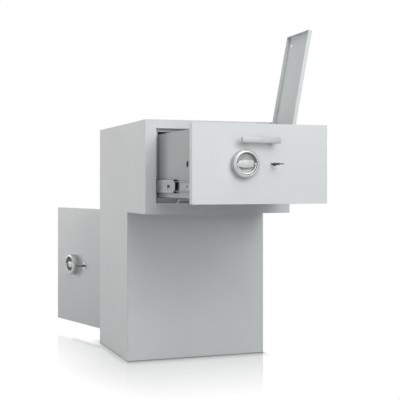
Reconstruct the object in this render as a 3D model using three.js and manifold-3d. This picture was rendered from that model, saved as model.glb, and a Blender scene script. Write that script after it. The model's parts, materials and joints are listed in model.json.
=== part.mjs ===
// Counter drop safe with a deposit drawer: a deep upper box with a locking drawer on
// telescopic slides, standing on a shallower lower box with a rear door.
// The drawer is drawn out, its deposit lid stands up and the rear door stands open.
// Millimetres, +Z up, front towards -Y. The origin is the centre of the lower box's footprint.
import * as THREE from "three";
import { mergeVertices } from "three/addons/utils/BufferGeometryUtils.js";
import Module from "manifold-3d";

const wasm = await Module();
wasm.setup();

// Cabinet
const width = 450;
const depth = 550;
const height = 722;
const upperHeight = 270;
const setback = 196;
const sheet = 3;
const innerSheet = 2;
const foldRadius = 2;

// Drawer opening in the front frame
const frontStile = 32;
const frontTopRail = 25;
const frontBottomRail = 32;
const frameReturn = 21;

// How far the moving pieces stand out in this pose
const drawerOut = 303;
const middleOut = 180;
const lidOpenDegrees = 100.8;
const doorOpenDegrees = 106;

// Drawer
const drawerFrontGap = 2;
const drawerFrontDepth = 20;
const drawerFrontSkin = 4;
const drawerLength = 470;
const trayFloorAbove = 17;
const trayTopBelow = 17;
const lockSpace = 74;
const frontTrayLength = 58;

// Deposit compartment in the drawer
const depositLength = 146;
const rimBelowTop = 11;
const lidFreeInset = 30.5;
const lidFlange = 11;
const lidHingeFromSide = 19.5;
const lidHoleRadius = 5.5;
const lidHoleFromFree = 27;
const lidHoleFromBack = 19;
const trapLength = 90;
const trapEarLength = 20;
const trapEarLeanDegrees = 60;
const trapSwingDegrees = 85;
const strikerBelowAxis = 9;
const dropGuideFlange = 36;
const dropGuideReach = 118;
const dropGuideFall = 52;

// Telescopic slides
const slideThickness = 13;
const slideHeight = 45;
const slideSheet = 1.4;
const slideAboveTray = 31;
const slideFromFront = 24;

// Lock sets, the same on the drawer and on the door
const knobRadius = 36;
const knobInnerRadius = 28;
const knobProjection = 21;
const drawerKeyOffset = 86;
const doorKeyOffset = 78;
const spindleRadius = 7;
const drawerKeyProjection = 60;
const doorKeyProjection = 32;
const boltRadius = 8;
const toothModule = 2;
const pinionTeeth = 14;
const rackThickness = 8;
const knobBelowMiddle = 0.5;
const drawerKnobFromLeft = 142;

// Drawer handle
const handleLength = 112;
const handleProjection = 30;
const handleBar = 7;
const handleHeight = 16;
const handleAboveKnob = 61;
const handleFromLeft = 178;

// Rear door
const rearStile = 30;
const plinthRail = 33;
const doorGap = 1.5;
const doorPlate = 6;
const doorPanDepth = 56;
const doorPanInset = 14;
const doorKnobFromEdge = 130.5;
const doorKnobAboveBase = 245;
const hingeBarrelRadius = 6.5;
const hingeBarrelLength = 46;
const hingePinRadius = 4;

// Clearances
const runGap = 0.3;
const cutOver = 2;
const slideGap = 0.8;
const boltHoleGap = 0.5;
const keeperGap = 1;
const spindleHoleGap = 1;
const hingeClear = 0.5;
const pinFit = 0.1;

// Levels and places that follow from the sizes above
const underside = height - upperHeight;
const openingLeft = frontStile;
const openingRight = width - frontStile;
const openingBottom = underside + frontBottomRail;
const openingTop = height - frontTopRail;
const lowerCentreY = (setback + depth) / 2;
const frontLeft = openingLeft + drawerFrontGap;
const frontRight = openingRight - drawerFrontGap;
const frontBottom = openingBottom + drawerFrontGap;
const frontTop = openingTop - drawerFrontGap;
const trayLeft = openingLeft - innerSheet / 2 + slideThickness;
const trayRight = width - trayLeft;
const trayBottom = openingBottom + trayFloorAbove;
const trayTop = openingTop - trayTopBelow;
const slideLength = drawerLength - drawerFrontDepth;
const lockSpaceEnd = drawerFrontDepth + lockSpace;
const depositStart = lockSpaceEnd + frontTrayLength + innerSheet;
const depositEnd = depositStart + depositLength;
const slideLevel = trayBottom + slideAboveTray;
const knobLevel = (frontBottom + frontTop) / 2 - knobBelowMiddle;
const drawerKnobX = frontLeft + drawerKnobFromLeft;
const drawerBoltDepth = 66;
const pitchRadius = (toothModule * pinionTeeth) / 2;
const boltTravel = (pitchRadius * Math.PI) / 2;

// Finishes
const powderGrey = metalFinish("#d3d7d8", 0.55, 0.15);
const innerGrey = metalFinish("#c3c7c9", 0.6, 0.15);
const zincSteel = metalFinish("#b9bcbd", 0.35, 0.9);
const satinNickel = metalFinish("#c9cccc", 0.28, 0.95);
const keySteel = metalFinish("#8f9496", 0.35, 0.95);
const springSteel = metalFinish("#77797b", 0.4, 0.9);
const blackPlastic = metalFinish("#141516", 0.5, 0);

function metalFinish(color, roughness, metalness) {
  return new THREE.MeshStandardMaterial({ color, roughness, metalness });
}

// A closed geometry as a solid that faces outwards.
function solidOf(geometry) {
  const plain = geometry.clone();
  plain.deleteAttribute("normal");
  plain.deleteAttribute("uv");
  const merged = mergeVertices(plain);
  const triangles = [];
  for (let i = 0; i < merged.index.count; i += 3) {
    const [a, b, c] = [0, 1, 2].map((k) => merged.index.getX(i + k));
    if (a !== b && b !== c && a !== c) triangles.push([a, b, c]);
  }
  const build = (list) =>
    new wasm.Manifold(
      new wasm.Mesh({
        numProp: 3,
        vertProperties: merged.attributes.position.array,
        triVerts: new Uint32Array(list.flat()),
      }),
    );
  const solid = build(triangles);
  return solid.volume() > 0 ? solid : build(triangles.map(([a, b, c]) => [a, c, b]));
}

function geometryOf(solid) {
  const mesh = solid.getMesh();
  const positions = new Float32Array(mesh.numVert * 3);
  for (let i = 0; i < mesh.numVert; i++)
    for (let k = 0; k < 3; k++)
      positions[i * 3 + k] = mesh.vertProperties[i * mesh.numProp + k];
  const geometry = new THREE.BufferGeometry();
  geometry.setAttribute("position", new THREE.BufferAttribute(positions, 3));
  geometry.setIndex(new THREE.BufferAttribute(mesh.triVerts, 1));
  geometry.computeVertexNormals();
  return geometry;
}

function addPiece(group, name, solid, material) {
  const mesh = new THREE.Mesh(geometryOf(solid), material);
  mesh.name = name;
  group.add(mesh);
  return mesh;
}

const join = (...solids) => solids.reduce((all, next) => all.add(next));
const cut = (body, ...tools) => tools.reduce((left, tool) => left.subtract(tool), body);

function box([x0, y0, z0], [x1, y1, z1]) {
  const geometry = new THREE.BoxGeometry(x1 - x0, y1 - y0, z1 - z0);
  geometry.translate((x0 + x1) / 2, (y0 + y1) / 2, (z0 + z1) / 2);
  return solidOf(geometry);
}

const barrelSides = 16;

const alongX = new THREE.Vector3(1, 0, 0);
const alongY = new THREE.Vector3(0, 1, 0);
const alongZ = new THREE.Vector3(0, 0, 1);
const turned = {
  x: new THREE.Matrix4().makeBasis(alongY, alongZ, alongX),
  y: new THREE.Matrix4().makeBasis(alongX, alongZ, alongY.clone().negate()),
  z: new THREE.Matrix4(),
};

// A round bar along one axis, centred on two places across it in X, Y, Z order.
function rod(axis, radius, [start, end], [across, up], sides = 24) {
  const geometry = new THREE.CylinderGeometry(radius, radius, end - start, sides);
  const middle = (start + end) / 2;
  if (axis === "x") geometry.rotateZ(Math.PI / 2).translate(middle, across, up);
  if (axis === "y") geometry.translate(across, middle, up);
  if (axis === "z") geometry.rotateX(Math.PI / 2).translate(across, up, middle);
  return solidOf(geometry);
}

// An outline pushed along an axis. The outline's two coordinates are Y and Z along X,
// X and Z along Y, and X and Y along Z.
function pushed(shape, axis, start, end, curveSegments = 2) {
  const geometry = new THREE.ExtrudeGeometry(shape, {
    depth: end - start,
    bevelEnabled: false,
    curveSegments,
  });
  geometry.applyMatrix4(turned[axis]);
  if (axis === "x") geometry.translate(start, 0, 0);
  if (axis === "y") geometry.translate(0, end, 0);
  if (axis === "z") geometry.translate(0, 0, start);
  return solidOf(geometry);
}

function outline(points) {
  return new THREE.Shape(points.map(([a, b]) => new THREE.Vector2(a, b)));
}

function roundedRectangle(a0, b0, a1, b1, radius) {
  const shape = new THREE.Shape();
  shape.moveTo(a0 + radius, b0);
  shape.lineTo(a1 - radius, b0);
  shape.absarc(a1 - radius, b0 + radius, radius, -Math.PI / 2, 0);
  shape.lineTo(a1, b1 - radius);
  shape.absarc(a1 - radius, b1 - radius, radius, 0, Math.PI / 2);
  shape.lineTo(a0 + radius, b1);
  shape.absarc(a0 + radius, b1 - radius, radius, Math.PI / 2, Math.PI);
  shape.lineTo(a0, b0 + radius);
  shape.absarc(a0 + radius, b0 + radius, radius, Math.PI, Math.PI * 1.5);
  return shape;
}

// A strip of bent sheet: the outline of a fold line given thickness on its left.
function bentStrip(points, thickness) {
  const line = points.map(([a, b]) => new THREE.Vector2(a, b));
  const normals = line.slice(1).map((p, i) => {
    const along = p.clone().sub(line[i]).normalize();
    return new THREE.Vector2(-along.y, along.x);
  });
  const offset = line.map((p, i) => {
    const before = normals[Math.max(i - 1, 0)];
    const after = normals[Math.min(i, normals.length - 1)];
    const mitre = before.clone().add(after).normalize();
    return p.clone().addScaledVector(mitre, thickness / mitre.dot(before));
  });
  return new THREE.Shape([...line, ...offset.reverse()]);
}

function turnedProfile(points, segments = 40) {
  const profile = points.map(([r, h]) => new THREE.Vector2(r, h));
  return solidOf(new THREE.LatheGeometry(profile, segments));
}

const mirroredAcross = (x) => width - x;

// Left or right hand: a box whose X limits are mirrored for the right.
function sidedBox(hand, [x0, y0, z0], [x1, y1, z1]) {
  return hand === "left"
    ? box([x0, y0, z0], [x1, y1, z1])
    : box([mirroredAcross(x1), y0, z0], [mirroredAcross(x0), y1, z1]);
}

function sidedPoints(hand, points) {
  return hand === "left" ? points : points.map(([x, other]) => [mirroredAcross(x), other]).reverse();
}

// Places of the drop opening and of the flap above it, in the drawer's own Y when shut
const trapEnd = depositEnd - innerSheet;
const trapStart = trapEnd - trapLength;
const trapBarrelRadius = 4;
const trapPinRadius = 2;
const trapAxisY = trapStart - trapBarrelRadius;
const trapAxisZ = trayBottom - trapBarrelRadius - 2 * hingeClear;
const trapSideInset = 31;
const trapLeft = trayLeft + trapSideInset;
const trapRight = trayRight - trapSideInset;
const trapEarThickness = 3;
const trapEarLeft = trapLeft - 3 * trapEarThickness;
const flapLap = 6;

// Cabinet panels
function sidePanel(start) {
  const side = outline([
    [sheet, underside],
    [sheet, height],
    [depth, height],
    [depth, 0],
    [setback, 0],
    [setback, underside],
  ]);
  return pushed(side, "x", start, start + sheet);
}

function frontFrame() {
  const face = roundedRectangle(0, underside, width, height, foldRadius);
  face.holes.push(roundedRectangle(openingLeft, openingBottom, openingRight, openingTop, foldRadius));
  const collar = roundedRectangle(
    openingLeft - sheet,
    openingBottom - sheet,
    openingRight + sheet,
    openingTop + sheet,
    foldRadius + sheet,
  );
  collar.holes.push(roundedRectangle(openingLeft, openingBottom, openingRight, openingTop, foldRadius));
  return join(pushed(face, "y", 0, sheet), pushed(collar, "y", 0, frameReturn));
}

const dropMargin = 4;
const dropStart = setback + sheet + dropMargin;
const dropEnd = depositEnd + dropMargin;

function upperFloor() {
  const plate = outline([
    [sheet, sheet],
    [width - sheet, sheet],
    [width - sheet, depth - sheet],
    [sheet, depth - sheet],
  ]);
  plate.holes.push(
    roundedRectangle(trapLeft - dropMargin, dropStart, trapRight + dropMargin, dropEnd, foldRadius),
  );
  return pushed(plate, "z", underside, underside + sheet);
}

function basePanel() {
  const anchorHole = 7;
  const anchorInset = 60;
  const [left, right] = [sheet, width - sheet];
  const [front, back] = [setback + sheet, depth - sheet];
  const holes = [left + anchorInset, right - anchorInset].flatMap((x) =>
    [front + anchorInset, back - anchorInset].map((y) =>
      rod("z", anchorHole, [-cutOver, sheet + cutOver], [x, y], 16),
    ),
  );
  return cut(box([left, front, 0], [right, back, sheet]), ...holes);
}

// Rear door opening: a flat frame with a deep jamb folded into the box on three sides.
const doorLeft = rearStile + doorGap;
const doorRight = width - rearStile - doorGap;
const doorBottom = plinthRail + doorGap;
const doorTop = underside - doorGap;
const jambDepth = doorPlate + doorPanDepth;
const doorBoltDepth = 46;
const boltInset = 62;
const doorBoltLevels = [doorBottom + boltInset, (doorBottom + doorTop) / 2, doorTop - boltInset];

function rearFrame() {
  const inner = [rearStile, width - rearStile];
  const face = outline([
    [sheet, 0],
    [width - sheet, 0],
    [width - sheet, underside],
    [inner[1], underside],
    [inner[1], plinthRail],
    [inner[0], plinthRail],
    [inner[0], underside],
    [sheet, underside],
  ]);
  const jamb = bentStrip(
    [
      [inner[0], underside],
      [inner[0], plinthRail],
      [inner[1], plinthRail],
      [inner[1], underside],
    ],
    -sheet,
  );
  const keepers = doorBoltLevels.map((z) =>
    rod(
      "x",
      boltRadius + keeperGap,
      [inner[1] - cutOver, inner[1] + sheet + cutOver],
      [depth - doorBoltDepth, z],
    ),
  );
  return cut(
    join(pushed(face, "y", depth - sheet, depth), pushed(jamb, "y", depth - jambDepth, depth)),
    ...keepers,
  );
}

// Sheet lining beside the drawer: it carries the slide and keeps the drawer's bolt.
const liningPastSlide = 6;
const liningEnd = slideFromFront + slideLength + liningPastSlide;
const liningFace = openingLeft - innerSheet / 2;

function innerSide(hand) {
  const plan = bentStrip(
    sidedPoints(hand, [
      [sheet, liningEnd],
      [liningFace, liningEnd],
      [liningFace, frameReturn],
    ]),
    -innerSheet,
  );
  const faceX = hand === "left" ? liningFace : mirroredAcross(liningFace);
  const through = [faceX - innerSheet - cutOver, faceX + innerSheet + cutOver];
  const keeper = rod("x", boltRadius + keeperGap, through, [drawerBoltDepth, knobLevel]);
  return cut(pushed(plan, "z", openingBottom, openingTop), keeper);
}

// Deposit guide: a bent sheet below the drop opening that leads a bag to the back
// and keeps a hand or wire from reaching in.
function dropBaffle() {
  const top = underside - trapLength;
  const bend = top - dropGuideFlange;
  const fold = [
    [setback + sheet + dropGuideReach, bend - dropGuideFall],
    [setback + sheet, bend],
    [setback + sheet, top],
  ];
  return pushed(bentStrip(fold, -innerSheet), "x", sheet, width - sheet);
}

// The striker that swings the trap flap down over the last part of the drawer's way in.
// It stands beside the drop opening, where the shut drawer leaves the flap's ear swung over.
function trapStriker() {
  const length = 5;
  const foot = 18;
  const thickness = 2 * trapEarThickness;
  const earTurned = THREE.MathUtils.degToRad(trapEarLeanDegrees - trapSwingDegrees);
  const face = trapAxisY + strikerBelowAxis * Math.tan(earTurned);
  const top = trapAxisZ - strikerBelowAxis;
  const floor = underside + sheet;
  const fin = outline([
    [face, floor],
    [face + length + foot, floor],
    [face + length + foot, floor + foldRadius],
    [face + length, floor + foot],
    [face + length, top],
    [face, top],
  ]);
  const left = trapEarLeft - (thickness - trapEarThickness) / 2;
  return pushed(fin, "x", left, left + thickness);
}

// Telescopic slide members, each drawn as a section across the slide.
// u runs from the lining towards the drawer, v up from the slide's middle.
function slideSection(hand, points) {
  return outline(sidedPoints(hand, points.map(([u, v]) => [liningFace + u, slideLevel + v])));
}

function channelPoints(webSide, openSide, half, lip) {
  const s = slideSheet;
  const inward = Math.sign(openSide - webSide);
  const [web, webIn] = [webSide, webSide + inward * s];
  const [mouth, mouthIn] = [openSide, openSide - inward * s];
  const upper = [
    [web, half],
    [mouth, half],
    [mouth, half - s - lip],
    [mouthIn, half - s - lip],
    [mouthIn, half - s],
    [webIn, half - s],
  ];
  const lower = upper.map(([u, v]) => [u, -v]).reverse();
  return [...upper, ...lower];
}

const ballSpace = 3.3;
const slideLip = 2.4;
const cabinetMouthShare = 0.73;
const middleHalf = slideHeight / 2 - slideSheet - ballSpace;
const drawerMemberHalf = middleHalf - slideSheet - slideLip - slideGap;

function cabinetMember(hand) {
  const section = channelPoints(0, slideThickness * cabinetMouthShare, slideHeight / 2, slideLip);
  return pushed(slideSection(hand, section), "y", slideFromFront, slideFromFront + slideLength);
}

const middleWeb = slideSheet + slideGap;
const middleMouth = slideThickness - slideSheet - 2 * runGap;

function middleMember(hand) {
  const section = channelPoints(middleWeb, middleMouth, middleHalf, slideLip);
  const bar = pushed(slideSection(hand, section), "y", slideFromFront, slideFromFront + slideLength);
  const slot = 7;
  const slotFromEnd = 32;
  const windows = [0, slideLength - 2 * slotFromEnd - slot].map((run) => {
    const y = slideFromFront + slotFromEnd + run;
    return sidedBox(
      hand,
      [liningFace, y, slideLevel - slot / 2],
      [liningFace + middleWeb + slideSheet + runGap, y + slot, slideLevel + slot / 2],
    );
  });
  return cut(bar, ...windows);
}

// Black plastic bumper clipped over the front end of the middle member
function slideBumper(hand) {
  const arc = new THREE.Shape();
  const half = middleHalf;
  const thick = 3;
  const bow = 3;
  const front = slideFromFront - runGap;
  const rear = front - 2 * thick;
  arc.moveTo(rear, slideLevel - half);
  arc.quadraticCurveTo(rear - bow, slideLevel, rear, slideLevel + half);
  arc.lineTo(front, slideLevel + half);
  arc.lineTo(front, slideLevel + half - thick);
  arc.quadraticCurveTo(front - bow, slideLevel, front, slideLevel - half + thick);
  arc.lineTo(front, slideLevel - half);
  const [web, mouth] = [liningFace + middleWeb, liningFace + middleMouth];
  const plate =
    hand === "left"
      ? pushed(arc, "x", web, web + slideSheet, 5)
      : pushed(arc, "x", mirroredAcross(web + slideSheet), mirroredAcross(web), 5);
  const clear = drawerMemberHalf + slideGap;
  const blocks = [
    [clear, half],
    [-half, -clear],
  ].map(([low, high]) =>
    sidedBox(
      hand,
      [web, rear, slideLevel + low],
      [mouth, front, slideLevel + high],
    ),
  );
  return join(plate, ...blocks);
}

function drawerMember(hand) {
  const section = channelPoints(
    slideThickness,
    middleWeb + slideSheet + slideGap,
    drawerMemberHalf,
    0,
  );
  return pushed(slideSection(hand, section), "y", slideFromFront, slideFromFront + slideLength);
}

// Drawer pieces, in the drawer's own place: Y is 0 at its front face
function keyholeOutline(x, z) {
  const round = 4.6;
  const slotHalfLength = 10;
  const slotHalfHeight = 2;
  const shape = new THREE.Shape();
  const turn = Math.asin(slotHalfHeight / round);
  shape.moveTo(x + slotHalfLength, z - slotHalfHeight);
  shape.lineTo(x + slotHalfLength, z + slotHalfHeight);
  shape.absarc(x, z, round, turn, Math.PI - turn);
  shape.lineTo(x - slotHalfLength, z + slotHalfHeight);
  shape.lineTo(x - slotHalfLength, z - slotHalfHeight);
  shape.absarc(x, z, round, Math.PI + turn, Math.PI * 2 - turn);
  return shape;
}

const drawerKeyX = drawerKnobX + drawerKeyOffset;

function drawerFront() {
  const face = roundedRectangle(frontLeft, frontBottom, frontRight, frontTop, foldRadius);
  const hollow = roundedRectangle(
    frontLeft + sheet,
    frontBottom + sheet,
    frontRight - sheet,
    frontTop - sheet,
    foldRadius,
  );
  return cut(
    pushed(face, "y", 0, drawerFrontDepth),
    pushed(hollow, "y", drawerFrontSkin, drawerFrontDepth + cutOver),
    rod("y", spindleRadius + spindleHoleGap, [-cutOver, drawerFrontDepth], [drawerKnobX, knobLevel]),
    pushed(keyholeOutline(drawerKeyX, knobLevel), "y", -cutOver, drawerFrontDepth),
  );
}

function drawerFrontBack() {
  const inset = sheet + runGap;
  const plate = roundedRectangle(
    frontLeft + inset,
    frontBottom + inset,
    frontRight - inset,
    frontTop - inset,
    foldRadius,
  );
  const holeRadius = spindleRadius + spindleHoleGap;
  const hole = new THREE.Path().absarc(drawerKnobX, knobLevel, holeRadius, 0, Math.PI * 2);
  plate.holes.push(hole, keyholeOutline(drawerKeyX, knobLevel));
  return pushed(plate, "y", drawerFrontDepth - innerSheet, drawerFrontDepth, 6);
}

function drawerTray() {
  const fold = [
    [trayLeft, trayTop],
    [trayLeft, trayBottom],
    [trayRight, trayBottom],
    [trayRight, trayTop],
  ];
  const folded = pushed(bentStrip(fold, innerSheet), "y", drawerFrontDepth, drawerLength);
  const flapHole = roundedRectangle(
    trapLeft + flapLap,
    trapStart + flapLap,
    trapRight - flapLap,
    trapEnd - flapLap,
    foldRadius * 2,
  );
  const boltHoles = [trayLeft, trayRight - innerSheet].map((x) => {
    const through = [x - cutOver, x + innerSheet + cutOver];
    return rod("x", boltRadius + boltHoleGap, through, [drawerBoltDepth, knobLevel]);
  });
  return cut(
    folded,
    pushed(flapHole, "z", trayBottom - cutOver, trayBottom + innerSheet + cutOver),
    ...boltHoles,
  );
}

const trayInnerLeft = trayLeft + innerSheet;
const trayInnerRight = trayRight - innerSheet;
const trayInnerFloor = trayBottom + innerSheet;

function crossWall(y) {
  return box([trayInnerLeft, y, trayInnerFloor], [trayInnerRight, y + innerSheet, trayTop]);
}

// Cover of the lock space: a rear wall and a top, bent from one sheet
function lockCover() {
  const fold = [
    [lockSpaceEnd, trayInnerFloor],
    [lockSpaceEnd, trayTop],
    [drawerFrontDepth, trayTop],
  ];
  const cover = pushed(bentStrip(fold, innerSheet), "x", trayInnerLeft, trayInnerRight);
  const bearing = rod(
    "y",
    spindleRadius + runGap,
    [lockSpaceEnd - innerSheet - cutOver, lockSpaceEnd + cutOver],
    [drawerKnobX, knobLevel],
  );
  return cut(cover, bearing);
}

// Hinge barrels share one pin: the lid has the outer and middle ones, the rim the others
const lidBarrelRadius = 4.5;
const lidPinRadius = 2;
const rimTop = trayTop - rimBelowTop;
const lidAxisX = trayInnerRight - lidHingeFromSide;
const lidAxisZ = rimTop + lidBarrelRadius + hingeClear;
const lidSideGap = 1;
const lidFront = depositStart + lidSideGap;
const lidBack = depositEnd - innerSheet - lidSideGap;
const lidLength = lidBack - lidFront;
const barrelCount = 5;
const barrelPitch = lidLength / barrelCount;
const barrelSpans = Array.from({ length: barrelCount }, (_, i) => [
  lidFront + i * barrelPitch + runGap,
  lidFront + (i + 1) * barrelPitch - runGap,
]);
const lidSkinTop = trayTop + innerSheet;
const lidFreeX = trayInnerLeft + lidFreeInset;
const lidHingeEdge = lidAxisX - lidBarrelRadius - hingeClear;

function barrelAlongY([start, end], x, z, radius) {
  return rod("y", radius, [start, end], [x, z], barrelSides);
}

function depositRim() {
  const open = THREE.MathUtils.degToRad(lidOpenDegrees);
  const stopHeight = 5;
  const leanAtStop = (lidSkinTop - lidAxisZ - stopHeight * Math.cos(open)) / Math.sin(open);
  const stopX = lidAxisX + leanAtStop + runGap;
  const stopTop = lidAxisZ + stopHeight;
  const plate = outline([
    [trayInnerLeft, depositStart],
    [trayInnerRight, depositStart],
    [trayInnerRight, depositEnd - innerSheet],
    [trayInnerLeft, depositEnd - innerSheet],
  ]);
  const edge = 14;
  plate.holes.push(
    roundedRectangle(
      lidFreeX + edge,
      depositStart + edge,
      lidHingeEdge - edge,
      depositEnd - edge,
      foldRadius * 2,
    ),
  );
  const fixedBarrels = barrelSpans
    .filter((_, i) => i % 2 === 1)
    .map(([start, end]) =>
      join(
        barrelAlongY([start, end], lidAxisX, lidAxisZ, lidBarrelRadius),
        box(
          [lidAxisX - lidBarrelRadius / 2, start, rimTop - innerSheet / 2],
          [lidAxisX + lidBarrelRadius / 2, end, lidAxisZ - lidBarrelRadius / 2],
        ),
      ),
    );
  const stop = box(
    [stopX, depositStart, rimTop - innerSheet],
    [stopX + innerSheet, depositEnd - innerSheet, stopTop],
  );
  const bore = barrelAlongY(
    [depositStart, depositEnd - innerSheet],
    lidAxisX,
    lidAxisZ,
    lidPinRadius + pinFit,
  );
  return cut(join(pushed(plate, "z", rimTop - innerSheet, rimTop), stop, ...fixedBarrels), bore);
}

// The lid lies over the compartment when shut: a shallow pan, open side down
function depositLid() {
  const skin = box([lidFreeX, lidFront, lidSkinTop - innerSheet], [lidHingeEdge, lidBack, lidSkinTop]);
  const flangeBottom = lidSkinTop - lidFlange;
  const walls = [
    box([lidFreeX, lidFront, flangeBottom], [lidFreeX + innerSheet, lidBack, lidSkinTop]),
    box([lidFreeX, lidFront, flangeBottom], [lidHingeEdge, lidFront + innerSheet, lidSkinTop]),
    box([lidFreeX, lidBack - innerSheet, flangeBottom], [lidHingeEdge, lidBack, lidSkinTop]),
    box([lidHingeEdge - innerSheet, lidFront, flangeBottom], [lidHingeEdge, lidBack, lidSkinTop]),
  ];
  const barrels = barrelSpans
    .filter((_, i) => i % 2 === 0)
    .map(([start, end]) =>
      join(
        barrelAlongY([start, end], lidAxisX, lidAxisZ, lidBarrelRadius),
        box(
          [lidHingeEdge - innerSheet / 2, start, lidAxisZ - innerSheet],
          [lidAxisX - lidBarrelRadius + innerSheet, end, lidAxisZ + innerSheet],
        ),
      ),
    );
  const bore = barrelAlongY([depositStart, depositEnd], lidAxisX, lidAxisZ, lidPinRadius + runGap);
  const holeX = lidFreeX + lidHoleFromFree;
  const holeY = lidBack - lidHoleFromBack;
  const pinholeOffset = 10;
  const pinholeShare = 0.25;
  const through = [lidSkinTop - innerSheet - cutOver, lidSkinTop + cutOver];
  return cut(
    join(skin, ...walls, ...barrels),
    bore,
    rod("z", lidHoleRadius, through, [holeX, holeY], 20),
    rod("z", lidHoleRadius * pinholeShare, through, [holeX - pinholeOffset, holeY], 8),
  ).translate([-lidAxisX, 0, -lidAxisZ]);
}

// Trap flap under the deposit compartment, hinged at its front edge
const trapBarrels = 5;
const trapSpan = trapRight - trapLeft;
const trapPitch = trapSpan / trapBarrels;
const springGap = 16;
const trapBarrelSpans = Array.from({ length: trapBarrels }, (_, i) => [
  trapLeft + i * trapPitch + runGap,
  trapLeft + (i + 1) * trapPitch - (i === 2 ? springGap : runGap),
]);
const flapTop = trayBottom - runGap;

function trapHingeFixed(spans) {
  const barrels = spans.map(([start, end]) =>
    join(
      rod("x", trapBarrelRadius, [start, end], [trapAxisY, trapAxisZ], barrelSides),
      box(
        [start, trapAxisY - trapBarrelRadius / 2, trapAxisZ],
        [end, trapAxisY + trapBarrelRadius / 2, trayBottom],
      ),
    ),
  );
  return barrels;
}

function trapFlap() {
  const plate = box([trapLeft, trapStart, flapTop - innerSheet], [trapRight, trapEnd, flapTop]);
  const barrels = trapBarrelSpans
    .filter((_, i) => i % 2 === 0)
    .map(([start, end]) =>
      join(
        rod("x", trapBarrelRadius, [start, end], [trapAxisY, trapAxisZ], barrelSides),
        box([start, trapAxisY, flapTop - innerSheet], [end, trapStart + innerSheet, flapTop]),
      ),
    );
  const lean = THREE.MathUtils.degToRad(trapEarLeanDegrees);
  const across = trapBarrelRadius - runGap;
  const along = (length, side) => [
    trapAxisY + length * Math.sin(lean) - side * Math.cos(lean),
    trapAxisZ - length * Math.cos(lean) - side * Math.sin(lean),
  ];
  const ear = outline([
    along(0, across),
    along(trapEarLength, across),
    along(trapEarLength, 0),
    along(0, 0),
  ]);
  const earSpan = [trapEarLeft, trapEarLeft + trapEarThickness];
  const hubSpan = [trapEarLeft, trapLeft + flapLap];
  const earHub = rod("x", trapBarrelRadius, hubSpan, [trapAxisY, trapAxisZ], barrelSides);
  const bore = rod(
    "x",
    trapPinRadius + runGap,
    [trapEarLeft - cutOver, trapRight + cutOver],
    [trapAxisY, trapAxisZ],
    barrelSides,
  );
  return cut(
    join(plate, ...barrels, earHub, pushed(ear, "x", ...earSpan)),
    bore,
  ).translate([0, -trapAxisY, -trapAxisZ]);
}

// Torsion spring round the trap's pin: turns from a formula, one leg under the flap
function trapSpring() {
  const wire = 0.6;
  const coilRadius = 3.2;
  const turns = 6;
  const stepsPerTurn = 8;
  const coilShare = 0.85;
  const start = trapBarrelSpans[2][1] + runGap + wire;
  const pitch = (springGap - 2 * (runGap + wire) - runGap) / turns;
  const legLength = 22;
  const legRise = 4.6;
  class Spring extends THREE.Curve {
    getPoint(t) {
      if (t <= coilShare) {
        const angle = (t / coilShare) * turns * Math.PI * 2 - Math.PI / 2;
        const x = start + (pitch * turns * t) / coilShare;
        return new THREE.Vector3(x, coilRadius * Math.cos(angle), coilRadius * Math.sin(angle));
      }
      const along = (t - coilShare) / (1 - coilShare);
      return new THREE.Vector3(start + pitch * turns, legLength * along, legRise * along - coilRadius);
    }
  }
  const section = new THREE.Shape();
  section.absarc(0, 0, wire, 0, Math.PI * 2);
  const geometry = new THREE.ExtrudeGeometry(section, {
    steps: Math.round((turns * stepsPerTurn) / coilShare),
    curveSegments: 3,
    bevelEnabled: false,
    extrudePath: new Spring(),
  });
  return solidOf(geometry);
}

// Boltwork: a pinion on the knob's spindle drives racks, so bolts follow the knob exactly.
const pressure = THREE.MathUtils.degToRad(20);
const backlash = 0.3;
const pinionAddendum = 1.9;
const rackAddendum = 1.3;
const rootClearance = 0.5;

function involutePinion(hub) {
  const base = pitchRadius * Math.cos(pressure);
  const tip = pitchRadius + pinionAddendum;
  const root = pitchRadius - rackAddendum - rootClearance;
  const inv = (angle) => Math.tan(angle) - angle;
  const halfAtPitch = Math.PI / (2 * pinionTeeth) - backlash / (2 * pitchRadius);
  const halfAt = (radius) => {
    const angle = Math.acos(Math.min(1, base / radius));
    return halfAtPitch + inv(pressure) - inv(angle);
  };
  const flankSteps = 2;
  const points = [];
  for (let tooth = 0; tooth < pinionTeeth; tooth++) {
    const centre = Math.PI / 2 + (tooth * Math.PI * 2) / pinionTeeth;
    const flank = Array.from({ length: flankSteps + 1 }, (_, i) => {
      const radius = base + ((tip - base) * i) / flankSteps;
      return [radius, halfAt(radius)];
    });
    const side = [[root, halfAt(base)], ...flank];
    side.forEach(([r, half]) => points.push([r, centre - half]));
    [...side].reverse().forEach(([r, half]) => points.push([r, centre + half]));
  }
  const shape = outline(points.map(([r, a]) => [r * Math.cos(a), r * Math.sin(a)]));
  shape.holes.push(new THREE.Path().absarc(0, 0, hub, 0, Math.PI * 2));
  return shape;
}

// Lower edge of a rack whose teeth point down, from left to right, about a gap at x = 0
function rackEdge(fromPitch, toPitch) {
  const pitch = Math.PI * toothModule;
  const slope = Math.tan(pressure);
  const halfAtTip = pitch / 4 - backlash / 2 - rackAddendum * slope;
  const dedendum = pinionAddendum + rootClearance;
  const halfAtRoot = pitch / 4 - backlash / 2 + dedendum * slope;
  const points = [];
  for (let i = fromPitch; i < toPitch; i++) {
    const centre = (i + 0.5) * pitch;
    points.push([centre - halfAtRoot, dedendum]);
    points.push([centre - halfAtTip, -rackAddendum]);
    points.push([centre + halfAtTip, -rackAddendum]);
    points.push([centre + halfAtRoot, dedendum]);
  }
  return points;
}

const rackBar = 9;
const rackRoot = pinionAddendum + rootClearance;

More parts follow.
